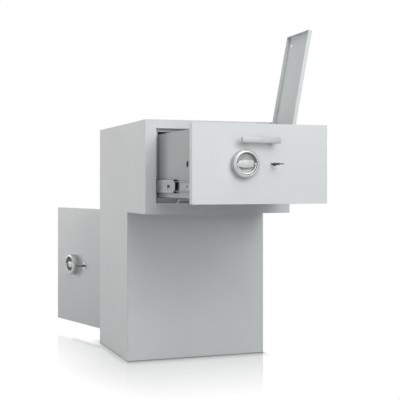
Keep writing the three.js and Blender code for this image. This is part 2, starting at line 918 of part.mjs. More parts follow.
// One bolt of the drawer: a rack bar over the pinion, a lug and a round bolt.
// Drawn for the left bolt about the pinion; the right one is turned half a turn.
function drawerBolt(reach) {
  const [first, last] = [-2, 5];
  const pitch = Math.PI * toothModule;
  const top = pitchRadius + rackRoot + rackBar;
  const lug = 16;
  const lugFromWall = 1;
  const lugLeft = -reach + boltTravel + innerSheet + lugFromWall;
  const edge = rackEdge(first, last).map(([x, z]) => [x, z + pitchRadius]);
  const bar = outline([
    [lugLeft, -boltRadius],
    [lugLeft + lug, -boltRadius],
    [lugLeft + lug, pitchRadius + rackRoot],
    ...edge,
    [last * pitch + rackBar / 2, pitchRadius + rackRoot],
    [last * pitch + rackBar / 2, top],
    [lugLeft, top],
  ]);
  const round = rod("x", boltRadius, [-reach, lugLeft + lug / 2], [0, 0], 24);
  return join(pushed(bar, "y", -rackThickness / 2, rackThickness / 2), round);
}

// Lock set pieces. Local Y points out of the face and the origin is on the knob's axis.
function knobRing() {
  const shoulder = 5;
  const wall = knobRadius - knobInnerRadius;
  const lipShares = [
    [0.88, 0.45],
    [0.65, 0.1],
    [0.4, 0],
    [0.12, 0],
    [0, 0.2],
  ];
  return turnedProfile([
    [knobInnerRadius, 0],
    [knobRadius, 0],
    [knobRadius, knobProjection - shoulder],
    ...lipShares.map(([out, down]) => [knobInnerRadius + wall * out, knobProjection - shoulder * down]),
    [knobInnerRadius, 0],
  ]);
}

function knobGrip(spindleEnd) {
  const cupRadius = knobInnerRadius - runGap;
  const cupFloor = 6;
  const cupDish = 2;
  const lipTop = 13;
  const floorShare = 0.7;
  const lip = 2.4;
  const cup = turnedProfile([
    [0, runGap],
    [cupRadius, runGap],
    [cupRadius, lipTop - lip / 2],
    [cupRadius - lip / 2, lipTop],
    [cupRadius - lip, lipTop - lip / 2],
    [cupRadius - lip, cupFloor + cupDish],
    [cupRadius * floorShare, cupFloor],
    [0, cupFloor],
  ]);
  const middle = 10;
  const ends = 7;
  const gripBelowRing = 1;
  const half = cupRadius - lip / 2;
  const barrel = [];
  const steps = 10;
  for (let i = 0; i <= steps; i++) {
    const along = (2 * i) / steps - 1;
    barrel.push([ends + (middle - ends) * (1 - along * along), along * half]);
  }
  const barrelPoints = [[0, -half], ...barrel, [0, half]];
  const profile = barrelPoints.map(([r, h]) => new THREE.Vector2(r, h));
  const barrelShape = new THREE.LatheGeometry(profile, 24);
  barrelShape.rotateZ(Math.PI / 2).translate(0, knobProjection - middle - gripBelowRing, 0);
  const web = box([-half, cupFloor / 2, -ends / 2], [half, knobProjection - middle, ends / 2]);
  const within = rod("y", half, [0, knobProjection], [0, 0], 40);
  const grip = join(solidOf(barrelShape), web).intersect(within);
  return join(cup, grip, rod("y", spindleRadius, [-spindleEnd, cupFloor / 2], [0, 0], 24));
}

const roseRadius = 12;
const roseThickness = 1.5;

function keyholeRose(x) {
  const disc = new THREE.Shape();
  disc.absarc(x, 0, roseRadius, 0, Math.PI * 2);
  disc.holes.push(keyholeOutline(x, 0));
  return pushed(disc, "y", 0, roseThickness, 10);
}

const keyCavity = 11.5;

// Double-bit key standing in its lock, its bow flat
function lockKey(keyInside, keyProjection) {
  const shaft = 3.4;
  const bitHalf = 10.5;
  const bitThickness = 2.6;
  const bitLength = 16;
  const shaftPastBit = 2;
  const bowHalf = 14;
  const bowLength = 26;
  const bowThickness = 3;
  const neck = keyProjection - bowLength;
  const bow = new THREE.Shape();
  bow.absellipse(0, keyProjection - bowLength / 2, bowHalf, bowLength / 2, 0, Math.PI * 2);
  const eye = new THREE.Path();
  const eyeShares = { back: 0.42, half: 0.5, deep: 0.22 };
  const eyeY = keyProjection - bowLength * eyeShares.back;
  eye.absellipse(0, eyeY, bowHalf * eyeShares.half, bowLength * eyeShares.deep, 0, Math.PI * 2);
  bow.holes.push(eye);
  const cutStep = 0.6;
  const cutDepths = [5, 2, 4, 1].map((steps) => steps * cutStep);
  const step = bitLength / cutDepths.length;
  const notchShare = 0.6;
  const notches = cutDepths.flatMap((deep, i) =>
    [-1, 1].map((side) => {
      const reach = side * bitHalf;
      const edge = side * (bitHalf - deep);
      const y = -keyInside + i * step;
      return box(
        [Math.min(reach, edge) - (side < 0 ? cutOver : 0), y, -bitThickness],
        [Math.max(reach, edge) + (side > 0 ? cutOver : 0), y + step * notchShare, bitThickness],
      );
    }),
  );
  const bit = box(
    [-bitHalf, -keyInside, -bitThickness / 2],
    [bitHalf, -keyInside + bitLength, bitThickness / 2],
  );
  return join(
    cut(bit, ...notches),
    rod("y", shaft, [-keyInside - shaftPastBit, neck + bowThickness], [0, 0], 16),
    pushed(bow, "z", -bowThickness / 2, bowThickness / 2, 9),
  );
}

// Closed lock case beside the spindle, with the hollow that the key turns in
function lockCase(keyX, start, end) {
  const margin = 26;
  const half = 30;
  const [x0, x1] = [Math.min(0, keyX) - margin, Math.max(0, keyX) + margin];
  const body = box([x0, -end, -half], [x1, -start, half]);
  const keyHollow = rod("y", keyCavity, [-end + sheet, -start + cutOver], [keyX, 0], 24);
  return cut(
    body,
    keyHollow,
    rod("y", spindleRadius + runGap, [-end - cutOver, -start + cutOver], [0, 0], 24),
  );
}

function bowHandle() {
  const h = handleProjection;
  const half = handleLength / 2;
  const t = handleBar;
  const corner = 12;
  const shape = new THREE.Shape();
  shape.moveTo(-half, 0);
  shape.lineTo(-half, -h + corner);
  shape.quadraticCurveTo(-half, -h, -half + corner, -h);
  shape.lineTo(half - corner, -h);
  shape.quadraticCurveTo(half, -h, half, -h + corner);
  shape.lineTo(half, 0);
  shape.lineTo(half - t, 0);
  shape.lineTo(half - t, -h + corner);
  shape.quadraticCurveTo(half - t, -h + t, half - corner, -h + t);
  shape.lineTo(-half + corner, -h + t);
  shape.quadraticCurveTo(-half + t, -h + t, -half + t, -h + corner);
  shape.lineTo(-half + t, 0);
  const round = 1.5;
  const geometry = new THREE.ExtrudeGeometry(shape, {
    depth: handleHeight - 2 * round,
    bevelEnabled: true,
    bevelThickness: round,
    bevelSize: round,
    bevelOffset: -round,
    bevelSegments: 2,
    curveSegments: 6,
  });
  geometry.translate(0, 0, round - handleHeight / 2);
  return solidOf(geometry);
}

const caseGap = 8;
const keyTipGap = 4;
const pinionOver = 1;

// A lock set on a face: the ring, rose and case stay, the knob and key turn.
function addLockSet(face, name, { keyX, keyProjection, faceDepth, caseEnd, pinionAt, spindleEnd }) {
  addPiece(face, name + "_knob_ring", knobRing(), satinNickel);
  addPiece(face, name + "_keyhole_rose", keyholeRose(keyX), satinNickel);
  addPiece(face, name + "_lock_case", lockCase(keyX, faceDepth + runGap, caseEnd), zincSteel);
  addPiece(face, name + "_knob_grip", knobGrip(spindleEnd), satinNickel);
  const keyGroup = new THREE.Group();
  keyGroup.position.x = keyX;
  face.add(keyGroup);
  addPiece(keyGroup, name + "_key", lockKey(caseEnd - sheet - keyTipGap, keyProjection), keySteel);
  const pinion = pushed(
    involutePinion(spindleRadius + runGap),
    "y",
    -pinionAt - rackThickness / 2 - pinionOver,
    -pinionAt + rackThickness / 2 + pinionOver,
    8,
  );
  addPiece(face, name + "_pinion", pinion, zincSteel);
}

const safe = new THREE.Group();
safe.position.set(-width / 2, -lowerCentreY, 0);

// Cabinet
addPiece(safe, "side_panel_left", sidePanel(0), powderGrey);
addPiece(safe, "side_panel_right", sidePanel(width - sheet), powderGrey);
addPiece(
  safe,
  "top_panel",
  box([sheet, sheet, height - sheet], [width - sheet, depth, height]),
  powderGrey,
);
addPiece(safe, "front_frame", frontFrame(), powderGrey);
addPiece(
  safe,
  "upper_back_panel",
  box([sheet, depth - sheet, underside], [width - sheet, depth, height - sheet]),
  powderGrey,
);
addPiece(safe, "upper_floor", upperFloor(), powderGrey);
addPiece(
  safe,
  "lower_front_panel",
  box([sheet, setback, 0], [width - sheet, setback + sheet, underside]),
  powderGrey,
);
addPiece(safe, "base_panel", basePanel(), powderGrey);
addPiece(safe, "rear_frame", rearFrame(), powderGrey);
addPiece(safe, "drop_baffle", dropBaffle(), innerGrey);
addPiece(safe, "trap_striker", trapStriker(), zincSteel);

const middles = new THREE.Group();
middles.position.y = -middleOut;
safe.add(middles);

const drawer = new THREE.Group();
drawer.position.y = -drawerOut;
safe.add(drawer);

for (const hand of ["left", "right"]) {
  addPiece(safe, "inner_side_" + hand, innerSide(hand), innerGrey);
  addPiece(safe, "slide_cabinet_member_" + hand, cabinetMember(hand), zincSteel);
  addPiece(middles, "slide_middle_member_" + hand, middleMember(hand), zincSteel);
  addPiece(middles, "slide_bumper_" + hand, slideBumper(hand), blackPlastic);
  addPiece(drawer, "slide_drawer_member_" + hand, drawerMember(hand), zincSteel);
}

// Drawer
addPiece(drawer, "drawer_front", drawerFront(), powderGrey);
addPiece(drawer, "drawer_front_back", drawerFrontBack(), powderGrey);
addPiece(drawer, "drawer_tray", drawerTray(), innerGrey);
addPiece(drawer, "lock_cover", lockCover(), innerGrey);
addPiece(drawer, "deposit_wall_front", crossWall(depositStart - innerSheet), innerGrey);
addPiece(drawer, "deposit_wall_back", crossWall(depositEnd - innerSheet), innerGrey);
addPiece(drawer, "drawer_back", crossWall(drawerLength - innerSheet), innerGrey);
addPiece(drawer, "deposit_rim", depositRim(), innerGrey);
addPiece(
  drawer,
  "lid_hinge_pin",
  rod("y", lidPinRadius, [lidFront + runGap, lidBack - runGap], [lidAxisX, lidAxisZ], barrelSides),
  zincSteel,
);
trapHingeFixed(trapBarrelSpans.filter((_, i) => i % 2 === 1)).forEach((barrel, i) => {
  const bore = rod(
    "x",
    trapPinRadius + pinFit,
    [trapLeft - cutOver, trapRight + cutOver],
    [trapAxisY, trapAxisZ],
    barrelSides,
  );
  addPiece(drawer, "trap_hinge_barrel_" + ["left", "right"][i], cut(barrel, bore), innerGrey);
});
const trapPinSpan = [trapEarLeft + runGap, trapRight - runGap];
addPiece(
  drawer,
  "trap_hinge_pin",
  rod("x", trapPinRadius, trapPinSpan, [trapAxisY, trapAxisZ], barrelSides),
  zincSteel,
);

const handleGroup = new THREE.Group();
handleGroup.position.set(frontLeft + handleFromLeft, 0, knobLevel + handleAboveKnob);
drawer.add(handleGroup);
addPiece(handleGroup, "drawer_handle", bowHandle(), satinNickel);

const lidGroup = new THREE.Group();
lidGroup.position.set(lidAxisX, 0, lidAxisZ);
lidGroup.rotation.y = THREE.MathUtils.degToRad(lidOpenDegrees);
drawer.add(lidGroup);
addPiece(lidGroup, "deposit_lid", depositLid(), powderGrey);

const trapGroup = new THREE.Group();
trapGroup.position.set(0, trapAxisY, trapAxisZ);
drawer.add(trapGroup);
addPiece(trapGroup, "trap_flap", trapFlap(), innerGrey);
addPiece(trapGroup, "trap_spring", trapSpring(), springSteel);

// Drawer lock: the face looks towards -Y, so the set is turned half round
const drawerLock = new THREE.Group();
drawerLock.position.set(drawerKnobX, 0, knobLevel);
drawerLock.rotation.z = Math.PI;
drawer.add(drawerLock);
addLockSet(drawerLock, "drawer", {
  keyX: -drawerKeyOffset,
  keyProjection: drawerKeyProjection,
  faceDepth: drawerFrontDepth,
  caseEnd: drawerBoltDepth - rackThickness - caseGap,
  pinionAt: drawerBoltDepth,
  spindleEnd: lockSpaceEnd,
});

const boltworkGroup = new THREE.Group();
boltworkGroup.position.set(drawerKnobX, drawerBoltDepth, knobLevel);
drawer.add(boltworkGroup);
addPiece(
  boltworkGroup,
  "drawer_bolt_left",
  drawerBolt(drawerKnobX - trayLeft - runGap),
  zincSteel,
);
const rightBolt = addPiece(
  boltworkGroup,
  "drawer_bolt_right",
  drawerBolt(trayRight - drawerKnobX - runGap),
  zincSteel,
);
rightBolt.rotation.y = Math.PI;

// Rear door, drawn shut about its hinge axis and then swung open
const hingeX = rearStile;
const hingeY = depth + hingeBarrelRadius + runGap;
const door = new THREE.Group();
door.position.set(hingeX, hingeY, 0);
door.rotation.z = THREE.MathUtils.degToRad(doorOpenDegrees);
safe.add(door);

const doorFaceY = depth - hingeY;
const doorKnobX = doorRight - hingeX - doorKnobFromEdge;
const doorKeyX = doorKnobX - doorKeyOffset;
const doorLocal = {
  left: doorLeft - hingeX,
  right: doorRight - hingeX,
  panLeft: doorLeft + doorPanInset - hingeX,
  panRight: doorRight - doorPanInset - hingeX,
  panBottom: doorBottom + doorPanInset,
  panTop: doorTop - doorPanInset,
  panBack: doorFaceY - doorPlate - doorPanDepth,
};

function doorPanel() {
  const d = doorLocal;
  const face = roundedRectangle(d.left, doorBottom, d.right, doorTop, 1);
  const pan = roundedRectangle(d.panLeft, d.panBottom, d.panRight, d.panTop, foldRadius);
  pan.holes.push(
    roundedRectangle(
      d.panLeft + innerSheet,
      d.panBottom + innerSheet,
      d.panRight - innerSheet,
      d.panTop - innerSheet,
      foldRadius,
    ),
  );
  const boltHoles = doorBoltLevels.map((z) =>
    rod(
      "x",
      boltRadius + boltHoleGap,
      [d.panRight - innerSheet - cutOver, d.panRight + cutOver],
      [doorFaceY - doorBoltDepth, z],
    ),
  );
  return cut(
    join(
      pushed(face, "y", doorFaceY - doorPlate, doorFaceY),
      pushed(pan, "y", d.panBack + innerSheet + runGap, doorFaceY - doorPlate / 2),
    ),
    ...boltHoles,
    rod(
      "y",
      spindleRadius + spindleHoleGap,
      [doorFaceY - doorPlate - cutOver, doorFaceY + cutOver],
      [doorKnobX, doorKnobAboveBase],
    ),
    pushed(
      keyholeOutline(doorKeyX, doorKnobAboveBase),
      "y",
      doorFaceY - doorPlate - cutOver,
      doorFaceY + cutOver,
    ),
  );
}

function doorCover() {
  const d = doorLocal;
  const plate = roundedRectangle(d.panLeft, d.panBottom, d.panRight, d.panTop, foldRadius);
  const bearing = new THREE.Path();
  bearing.absarc(doorKnobX, doorKnobAboveBase, spindleRadius + runGap, 0, Math.PI * 2);
  plate.holes.push(bearing);
  return pushed(plate, "y", d.panBack, d.panBack + innerSheet, 6);
}

// Vertical bolt bar with three round bolts and a rack arm over the pinion
function doorBoltBar() {
  const d = doorLocal;
  const [first, last] = [-5, 2];
  const pitch = Math.PI * toothModule;
  const barWidth = 18;
  const barGap = 3;
  const barRight = d.panRight - innerSheet - boltTravel - barGap;
  const barLeft = barRight - barWidth;
  const level = doorKnobAboveBase;
  const armBottom = level + pitchRadius + rackRoot;
  const armTop = armBottom + rackBar;
  const edge = rackEdge(first, last).map(([x, z]) => [x + doorKnobX, z + level + pitchRadius]);
  const armLeft = doorKnobX + first * pitch - rackBar / 2;
  const endOver = 14;
  const bottom = doorBoltLevels[0] - endOver;
  const top = doorBoltLevels[2] + endOver;
  const arm = outline([
    [armLeft, armBottom],
    ...edge,
    [barRight, armBottom],
    [barRight, armTop],
    [armLeft, armTop],
  ]);
  const y = doorFaceY - doorBoltDepth;
  const strip = box([barLeft, y - sheet / 2, bottom], [barRight, y + sheet / 2, top]);
  const bolts = doorBoltLevels.map((z) =>
    rod("x", boltRadius, [barLeft + barWidth / 2, d.panRight - runGap], [y, z], 24),
  );
  return join(pushed(arm, "y", y - rackThickness / 2, y + rackThickness / 2), strip, ...bolts);
}

// Lift-off hinges: a pin half on the frame and a socket half on the door
const hingeFromEdge = 60;
const hingeLevels = {
  lower: doorBottom + hingeFromEdge,
  upper: doorTop - hingeFromEdge - hingeBarrelLength,
};
const hingeLeaf = 24;
const hingeLeafThickness = 3;

function hingeOnFrame(z) {
  const half = hingeBarrelLength / 2;
  const barrel = rod("z", hingeBarrelRadius, [z, z + half - runGap], [hingeX, hingeY], 24);
  const pin = rod("z", hingePinRadius, [z, z + 2 * half - cutOver], [hingeX, hingeY], 24);
  const leaf = box(
    [hingeX - hingeLeaf, depth, z],
    [hingeX - hingeBarrelRadius / 2, depth + hingeLeafThickness, z + half - runGap],
  );
  return join(barrel, pin, leaf);
}

function hingeOnDoor(z) {
  const half = hingeBarrelLength / 2;
  const barrel = rod("z", hingeBarrelRadius, [z + half, z + 2 * half], [0, 0], 24);
  const leaf = box(
    [hingeBarrelRadius / 2, doorFaceY, z + half],
    [hingeLeaf, doorFaceY + hingeLeafThickness, z + 2 * half],
  );
  const bore = rod("z", hingePinRadius + runGap, [z, z + 2 * half - cutOver / 2], [0, 0], 24);
  return cut(join(barrel, leaf), bore);
}

for (const [place, z] of Object.entries(hingeLevels)) {
  addPiece(safe, "hinge_pin_half_" + place, hingeOnFrame(z), zincSteel);
  addPiece(door, "hinge_socket_half_" + place, hingeOnDoor(z), zincSteel);
}
addPiece(door, "door_panel", doorPanel(), powderGrey);
addPiece(door, "door_cover", doorCover(), innerGrey);
addPiece(door, "door_bolt_bar", doorBoltBar(), zincSteel);

const doorLock = new THREE.Group();
doorLock.position.set(doorKnobX, doorFaceY, doorKnobAboveBase);
door.add(doorLock);
addLockSet(doorLock, "door", {
  keyX: -doorKeyOffset,
  keyProjection: doorKeyProjection,
  faceDepth: doorPlate,
  caseEnd: doorBoltDepth - rackThickness,
  pinionAt: doorBoltDepth,
  spindleEnd: doorPlate + doorPanDepth,
});

export default safe;
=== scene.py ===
# %% [markdown]
# # A counter safe with a deposit drawer
# The real object is folded steel sheet with a powder coat: a deep upper box with a drawer on
# telescopic slides, over a shallower lower box with a rear door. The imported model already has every
# piece at its real size and place, so this lesson only dresses it. It could be modelled again from
# nothing, but then its joints and gaps would have to be fitted twice.

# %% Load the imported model
import json
import math

import bpy
from mathutils import Matrix, Vector


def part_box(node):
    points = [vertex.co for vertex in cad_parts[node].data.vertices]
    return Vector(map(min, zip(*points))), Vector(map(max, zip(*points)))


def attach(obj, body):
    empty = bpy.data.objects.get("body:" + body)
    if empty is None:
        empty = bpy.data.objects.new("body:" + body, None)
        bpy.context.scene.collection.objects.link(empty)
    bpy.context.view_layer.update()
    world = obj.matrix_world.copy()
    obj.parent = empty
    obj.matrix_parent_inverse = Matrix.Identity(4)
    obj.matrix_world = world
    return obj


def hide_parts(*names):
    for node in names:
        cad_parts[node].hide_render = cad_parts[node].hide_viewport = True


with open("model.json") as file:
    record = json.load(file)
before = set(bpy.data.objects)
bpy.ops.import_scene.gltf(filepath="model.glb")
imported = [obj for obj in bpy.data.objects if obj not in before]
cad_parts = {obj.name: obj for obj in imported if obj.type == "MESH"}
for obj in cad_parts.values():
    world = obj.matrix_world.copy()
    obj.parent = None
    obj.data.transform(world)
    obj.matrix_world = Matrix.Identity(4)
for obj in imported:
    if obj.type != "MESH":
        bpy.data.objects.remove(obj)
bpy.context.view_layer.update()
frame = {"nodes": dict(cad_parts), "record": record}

body_of = {
    node: body for body, nodes in frame["record"]["behaviour"]["bodies"].items() for node in nodes
}

# %% [markdown]
# ## The camera
# The photograph is taken from a standing height that looks level, with a lens of about 80 mm. Its place
# was solved from the edges of the boxes. A level camera keeps the upright edges upright, and a small
# shift does what a tilt would do to the framing.

# %% Camera
LENS_MM, SENSOR_MM = 80.695, 36
camera_data = bpy.data.cameras.new("studio_camera")
camera_data.lens = LENS_MM
camera_data.sensor_width = SENSOR_MM
camera_data.shift_x = -0.0017
camera_data.shift_y = -0.0393
camera_data.clip_end = 50
camera = bpy.data.objects.new("studio_camera", camera_data)
camera.location = (-0.9391, -2.8115, 0.53755)
camera.rotation_euler = (math.radians(90), 0, math.radians(-19.856))
bpy.context.scene.collection.objects.link(camera)
bpy.context.scene.camera = camera
print("camera", tuple(round(v, 3) for v in camera.location))

# %% [markdown]
# ## Small helpers
# A finish is written as the colour that a designer would read off a swatch, so one function turns an
# sRGB hex value into the linear colour that a shader takes. A second one adds a node with its settings
# and links. Operators act on whatever is selected, so a third one selects a single piece.

# %% Helpers
MM = 0.001


def swatch(hex_code):
    """The linear colour of an sRGB hex value."""
    channels = [int(hex_code[i:i + 2], 16) / 255 for i in (1, 3, 5)]
    linear = [c / 12.92 if c <= 0.04045 else ((c + 0.055) / 1.055) ** 2.4 for c in channels]
    return (*linear, 1.0)


def add_node(tree, kind, settings=None, links=None):
    """Adds a node, sets its properties or sockets by name or number, and links its inputs."""
    node = tree.nodes.new(kind)
    for key, value in (settings or {}).items():
        if isinstance(key, str) and hasattr(node, key):
            setattr(node, key, value)
        else:
            node.inputs[key].default_value = value
    for key, output in (links or {}).items():
        tree.links.new(output, node.inputs[key])
    return node


def pick(piece):
    """Selects one piece alone and makes it active."""
    bpy.ops.object.select_all(action="DESELECT")
    piece.select_set(True)
    bpy.context.view_layer.objects.active = piece


print("a mid grey swatch in linear light", [round(c, 3) for c in swatch("#808080")])

# %% [markdown]
# ## What the finishes are made of
# Every finish is told in the same few steps: a noise of a real size in millimetres, a colour between two
# swatches, a roughness that varies a little, and a relief. Each step is a small function, so a finish
# reads as a short list. The same nodes could be wired by hand in the shader editor, but then fifteen
# times over. A Mix node has several sockets of one name, so the ones for colours go by number.

# %% Steps of a finish
MIX_FACTOR, MIX_A, MIX_B, MIX_COLOUR = 0, 6, 7, 2


def start_finish(name):
    """A material with no nodes but the coordinates that every pattern reads."""
    material = bpy.data.materials.new(name)
    material.use_nodes = True
    material.node_tree.nodes.clear()
    place = add_node(material.node_tree, "ShaderNodeTexCoord").outputs["Object"]
    return material, material.node_tree, place


def per_mm(size):
    """The noise scale whose features have that size in millimetres."""
    return 1 / (size * MM)


def noise(tree, place, size_mm, detail, roughness=0.5):
    """A noise with features of that size; detail and roughness say how ragged it is."""
    settings = {"Scale": per_mm(size_mm), "Detail": detail, "Roughness": roughness}
    return add_node(tree, "ShaderNodeTexNoise", settings, {"Vector": place}).outputs["Fac"]


def spread(tree, value, start, end, low=0.0, high=1.0):
    """Maps start to low and end to high, and goes no further at either end."""
    settings = {"From Min": start, "From Max": end, "To Min": low, "To Max": high}
    return add_node(tree, "ShaderNodeMapRange", settings, {"Value": value}).outputs["Result"]


def two_tone(tree, share, pale, deep):
    """The deep colour where the share is 0, and the pale one where it is 1."""
    settings = {"data_type": "RGBA", MIX_A: swatch(deep), MIX_B: swatch(pale)}
    return add_node(tree, "ShaderNodeMix", settings, {MIX_FACTOR: share}).outputs[MIX_COLOUR]


def relief(tree, height, strength, depth_mm):
    """Makes a pattern catch the light as if it were raised."""
    settings = {"Strength": strength, "Distance": depth_mm * MM}
    return add_node(tree, "ShaderNodeBump", settings, {"Height": height}).outputs["Normal"]


def calc(tree, operation, *values, kind="ShaderNodeMath"):
    """A math node on numbers, vectors or what other nodes give."""
    node = add_node(tree, kind, {"operation": operation})
    for index, value in enumerate(values):
        if isinstance(value, bpy.types.NodeSocket):
            tree.links.new(value, node.inputs[index])
        else:
            node.inputs[index].default_value = value
    return node.outputs["Value" if kind == "ShaderNodeMath" or operation == "LENGTH" else "Vector"]


def output(tree, shader):
    """Makes a shader the one that the material shows."""
    add_node(tree, "ShaderNodeOutputMaterial", links={"Surface": shader})


print("steps of a finish", [step.__name__ for step in (noise, spread, two_tone, relief)])

# %% [markdown]
# ## Powder coat
# The paint is a polyester powder, sprayed dry and baked. It melts into a satin skin with a faint orange
# peel, about 1.5 mm from crest to crest, and its colour hardly varies. Noises on the piece's own
# coordinates give it: a fine one for the peel and the grain in the colour, and a broad one for the slow
# change of gloss over a panel. An image of real paint would do as well, but it would need a file.

# %% Powder coat
PEEL_MM, PANEL_MM, GLOSS_SWING = 1.5, 160, 0.05


def powder_coat(name, pale, deep, roughness=0.46):
    """A baked powder paint between two close tones."""
    material, tree, place = start_finish(name)
    peel = noise(tree, place, PEEL_MM, detail=4.0, roughness=0.65)
    broad = noise(tree, place, PANEL_MM, detail=2.0)
    tone = spread(tree, calc(tree, "ADD", peel, broad), start=0.7, end=1.3)
    gloss = spread(
        tree, broad, start=0.3, end=0.7, low=roughness - GLOSS_SWING, high=roughness + GLOSS_SWING
    )
    shader = add_node(
        tree,
        "ShaderNodeBsdfPrincipled",
        {"IOR": 1.5},
        {
            "Base Color": two_tone(tree, tone, pale, deep),
            "Roughness": gloss,
            "Normal": relief(tree, peel, strength=0.25, depth_mm=0.05),
        },
    )
    output(tree, shader.outputs[0])
    return material


paint = powder_coat("light_grey_powder_coat", "#D8DCDC", "#D2D6D6")
# The fold finish is a lighter, glossier tone that the bevels take: a painted highlight along the edges.
painted_edge_highlight = powder_coat("powder_coat_with_painted_edge_highlight", "#DEE1E1", "#D6DADA", roughness=0.38)
inner_paint = powder_coat("inner_grey_powder_coat", "#B7BABB", "#AFB2B3", roughness=0.62)
print("powder coats", paint.name, painted_edge_highlight.name, inner_paint.name)

# %% [markdown]
# ## Metals and lacquers
# The slides, bolts and hinges are zinc plated, which looks pale and slightly clouded, with the lines of
# the rolling mill under it. The handle is satin nickel with a fine brushing, and the knobs are zinc
# castings under a silver lacquer. A dull plating or a lacquer scatters much of the light, so these are
# only partly metallic. Keys are handled, so their nickel is dull and scratched. All are the same idea: a
# noise stretched along one direction for the lines, another for the clouds, and a rough metal.
# Separate materials would repeat it ten times.

# %% Metals and lacquers
GLOSSIER, DULLER = 0.07, 0.08


def plated_metal(
    name, pale, deep, roughness, line_mm, line_depth, cloud_mm, stretch=(1, 1, 1), metallic=1.0
):
    """A metal with fine lines and clouds: stretch gives how far a line runs along X, Y and Z."""
    material, tree, place = start_finish(name)
    squeeze = {"Scale": tuple(1 / s for s in stretch)}
    drawn = add_node(tree, "ShaderNodeMapping", squeeze, {"Vector": place}).outputs["Vector"]
    lines = noise(tree, drawn, line_mm, detail=3.0, roughness=0.6)
    clouds = noise(tree, place, cloud_mm, detail=4.0)
    tone = spread(tree, clouds, start=0.35, end=0.65)
    gloss = spread(
        tree, lines, start=0.3, end=0.7, low=roughness - GLOSSIER, high=roughness + DULLER
    )
    shader = add_node(
        tree,
        "ShaderNodeBsdfPrincipled",
        {"Metallic": metallic},
        {
            "Base Color": two_tone(tree, tone, pale, deep),
            "Roughness": gloss,
            "Normal": relief(tree, lines, strength=0.4, depth_mm=line_depth),
        },
    )
    output(tree, shader.outputs[0])
    return material


zinc = plated_metal(
    "zinc_plated_steel", "#888B8C", "#777A7C", roughness=0.5, metallic=0.5,
    line_mm=0.8, line_depth=0.02, stretch=(1, 12, 1), cloud_mm=9,
)
zinc_pad = plated_metal(
    "stamped_zinc_pad", "#8F9293", "#828587", roughness=0.5, metallic=0.45,
    line_mm=0.8, line_depth=0.02, stretch=(1, 8, 1), cloud_mm=9,
)
handle_nickel = plated_metal(
    "satin_nickel_bar", "#ABADAF", "#A4A7A8", roughness=0.48, metallic=0.4,
    line_mm=0.5, line_depth=0.01, stretch=(10, 1, 1), cloud_mm=25,
)
rose_satin = plated_metal(
    "satin_keyhole_plate", "#A9ACAD", "#A2A5A6", roughness=0.5,
    line_mm=0.5, line_depth=0.008, cloud_mm=12,
)
silver_lacquer = plated_metal(
    "silver_lacquer_on_zinc", "#BCBEBE", "#B4B6B6", roughness=0.38, metallic=0.45,
    line_mm=0.5, line_depth=0.008, cloud_mm=20,
)
grip_lacquer = plated_metal(
    "silver_lacquer_on_the_grip", "#BEC0C0", "#B8BABA", roughness=0.42, metallic=0.3,
    line_mm=0.5, line_depth=0.008, cloud_mm=20,
)
cup_lacquer = plated_metal(
    "grey_lacquer_in_the_cup", "#B2B4B1", "#ABADAA", roughness=0.5, metallic=0.15,
    line_mm=0.5, line_depth=0.008, cloud_mm=20,
)
bright_wire = plated_metal(
    "polished_nickel_wire", "#E6E7E7", "#DADCDC", roughness=0.3, metallic=0.55,
    line_mm=0.4, line_depth=0.004, cloud_mm=12,
)
key_nickel = plated_metal(
    "handled_key_nickel", "#66696B", "#46494B", roughness=0.38,
    line_mm=0.6, line_depth=0.02, stretch=(1, 9, 1), cloud_mm=5,
)
spring_steel = plated_metal(
    "oiled_spring_steel", "#6A6C6E", "#45474A", roughness=0.34,
    line_mm=0.4, line_depth=0.01, stretch=(1, 1, 4), cloud_mm=3,
)
print("metals", [m.name for m in (zinc, silver_lacquer, handle_nickel, key_nickel)])

# %% [markdown]
# ## Black plastic
# The end stops on the slides are moulded acetal with a spark-eroded grain, about 0.5 mm. A voronoi noise
# has the same small round pits, so it makes the grain, and a soft noise greys the skin a little. A plain
# noise would give a grain too, but a rougher one.

# %% Black plastic
SKIN_MM = 6


def moulded_plastic(name, pale, deep, grain_mm):
    """A matt moulded plastic with a pitted grain."""
    material, tree, place = start_finish(name)
    pits = add_node(tree, "ShaderNodeTexVoronoi", {"Scale": per_mm(grain_mm)}, {"Vector": place})
    skin = noise(tree, place, SKIN_MM, detail=3.0)
    shader = add_node(
        tree,
        "ShaderNodeBsdfPrincipled",
        {"Roughness": 0.7, "IOR": 1.48, "Specular IOR Level": 0.25},
        {
            "Base Color": two_tone(tree, skin, pale, deep),
            "Normal": relief(tree, pits.outputs["Distance"], strength=0.5, depth_mm=0.04),
        },
    )
    output(tree, shader.outputs[0])
    return material


black_acetal = moulded_plastic("black_acetal", "#1D1E1F", "#101112", grain_mm=0.5)
print("plastic", black_acetal.name)

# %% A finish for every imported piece
finish_of_slot = {
    "powder_grey": paint,
    "inner_grey": inner_paint,
    "zinc_steel": zinc,
    "satin_nickel": silver_lacquer,
    "key_steel": key_nickel,
    "spring_steel": spring_steel,
    "black_plastic": black_acetal,
}
slot_of = {s["node"]: s["material_slot"] for s in frame["record"]["subparts"]}
for name, piece in frame["nodes"].items():
    piece.data.materials.clear()
    piece.data.materials.append(finish_of_slot[slot_of[name]])
print("finishes on", len(frame["nodes"]), "nodes")

# %% [markdown]
# ## Rounded edges on the sheet metal
# No edge of a real sheet is sharp: a fold has a radius, and a cut edge is deburred and then rounded
# again by the paint. Light catches there, so a sharp edge looks drawn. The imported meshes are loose
# triangles, so a copy of each is merged, its flat faces are joined, and a bevel modifier rounds what is
# left. A scratch model with every fold drawn by hand would look the same at many times the work.

# %% Round the edges
NEARLY_FLAT, SHARP_EDGE, SMOOTH_SHADE = math.radians(2), math.radians(40), math.radians(30)
SAME_POINT_MM = 0.02


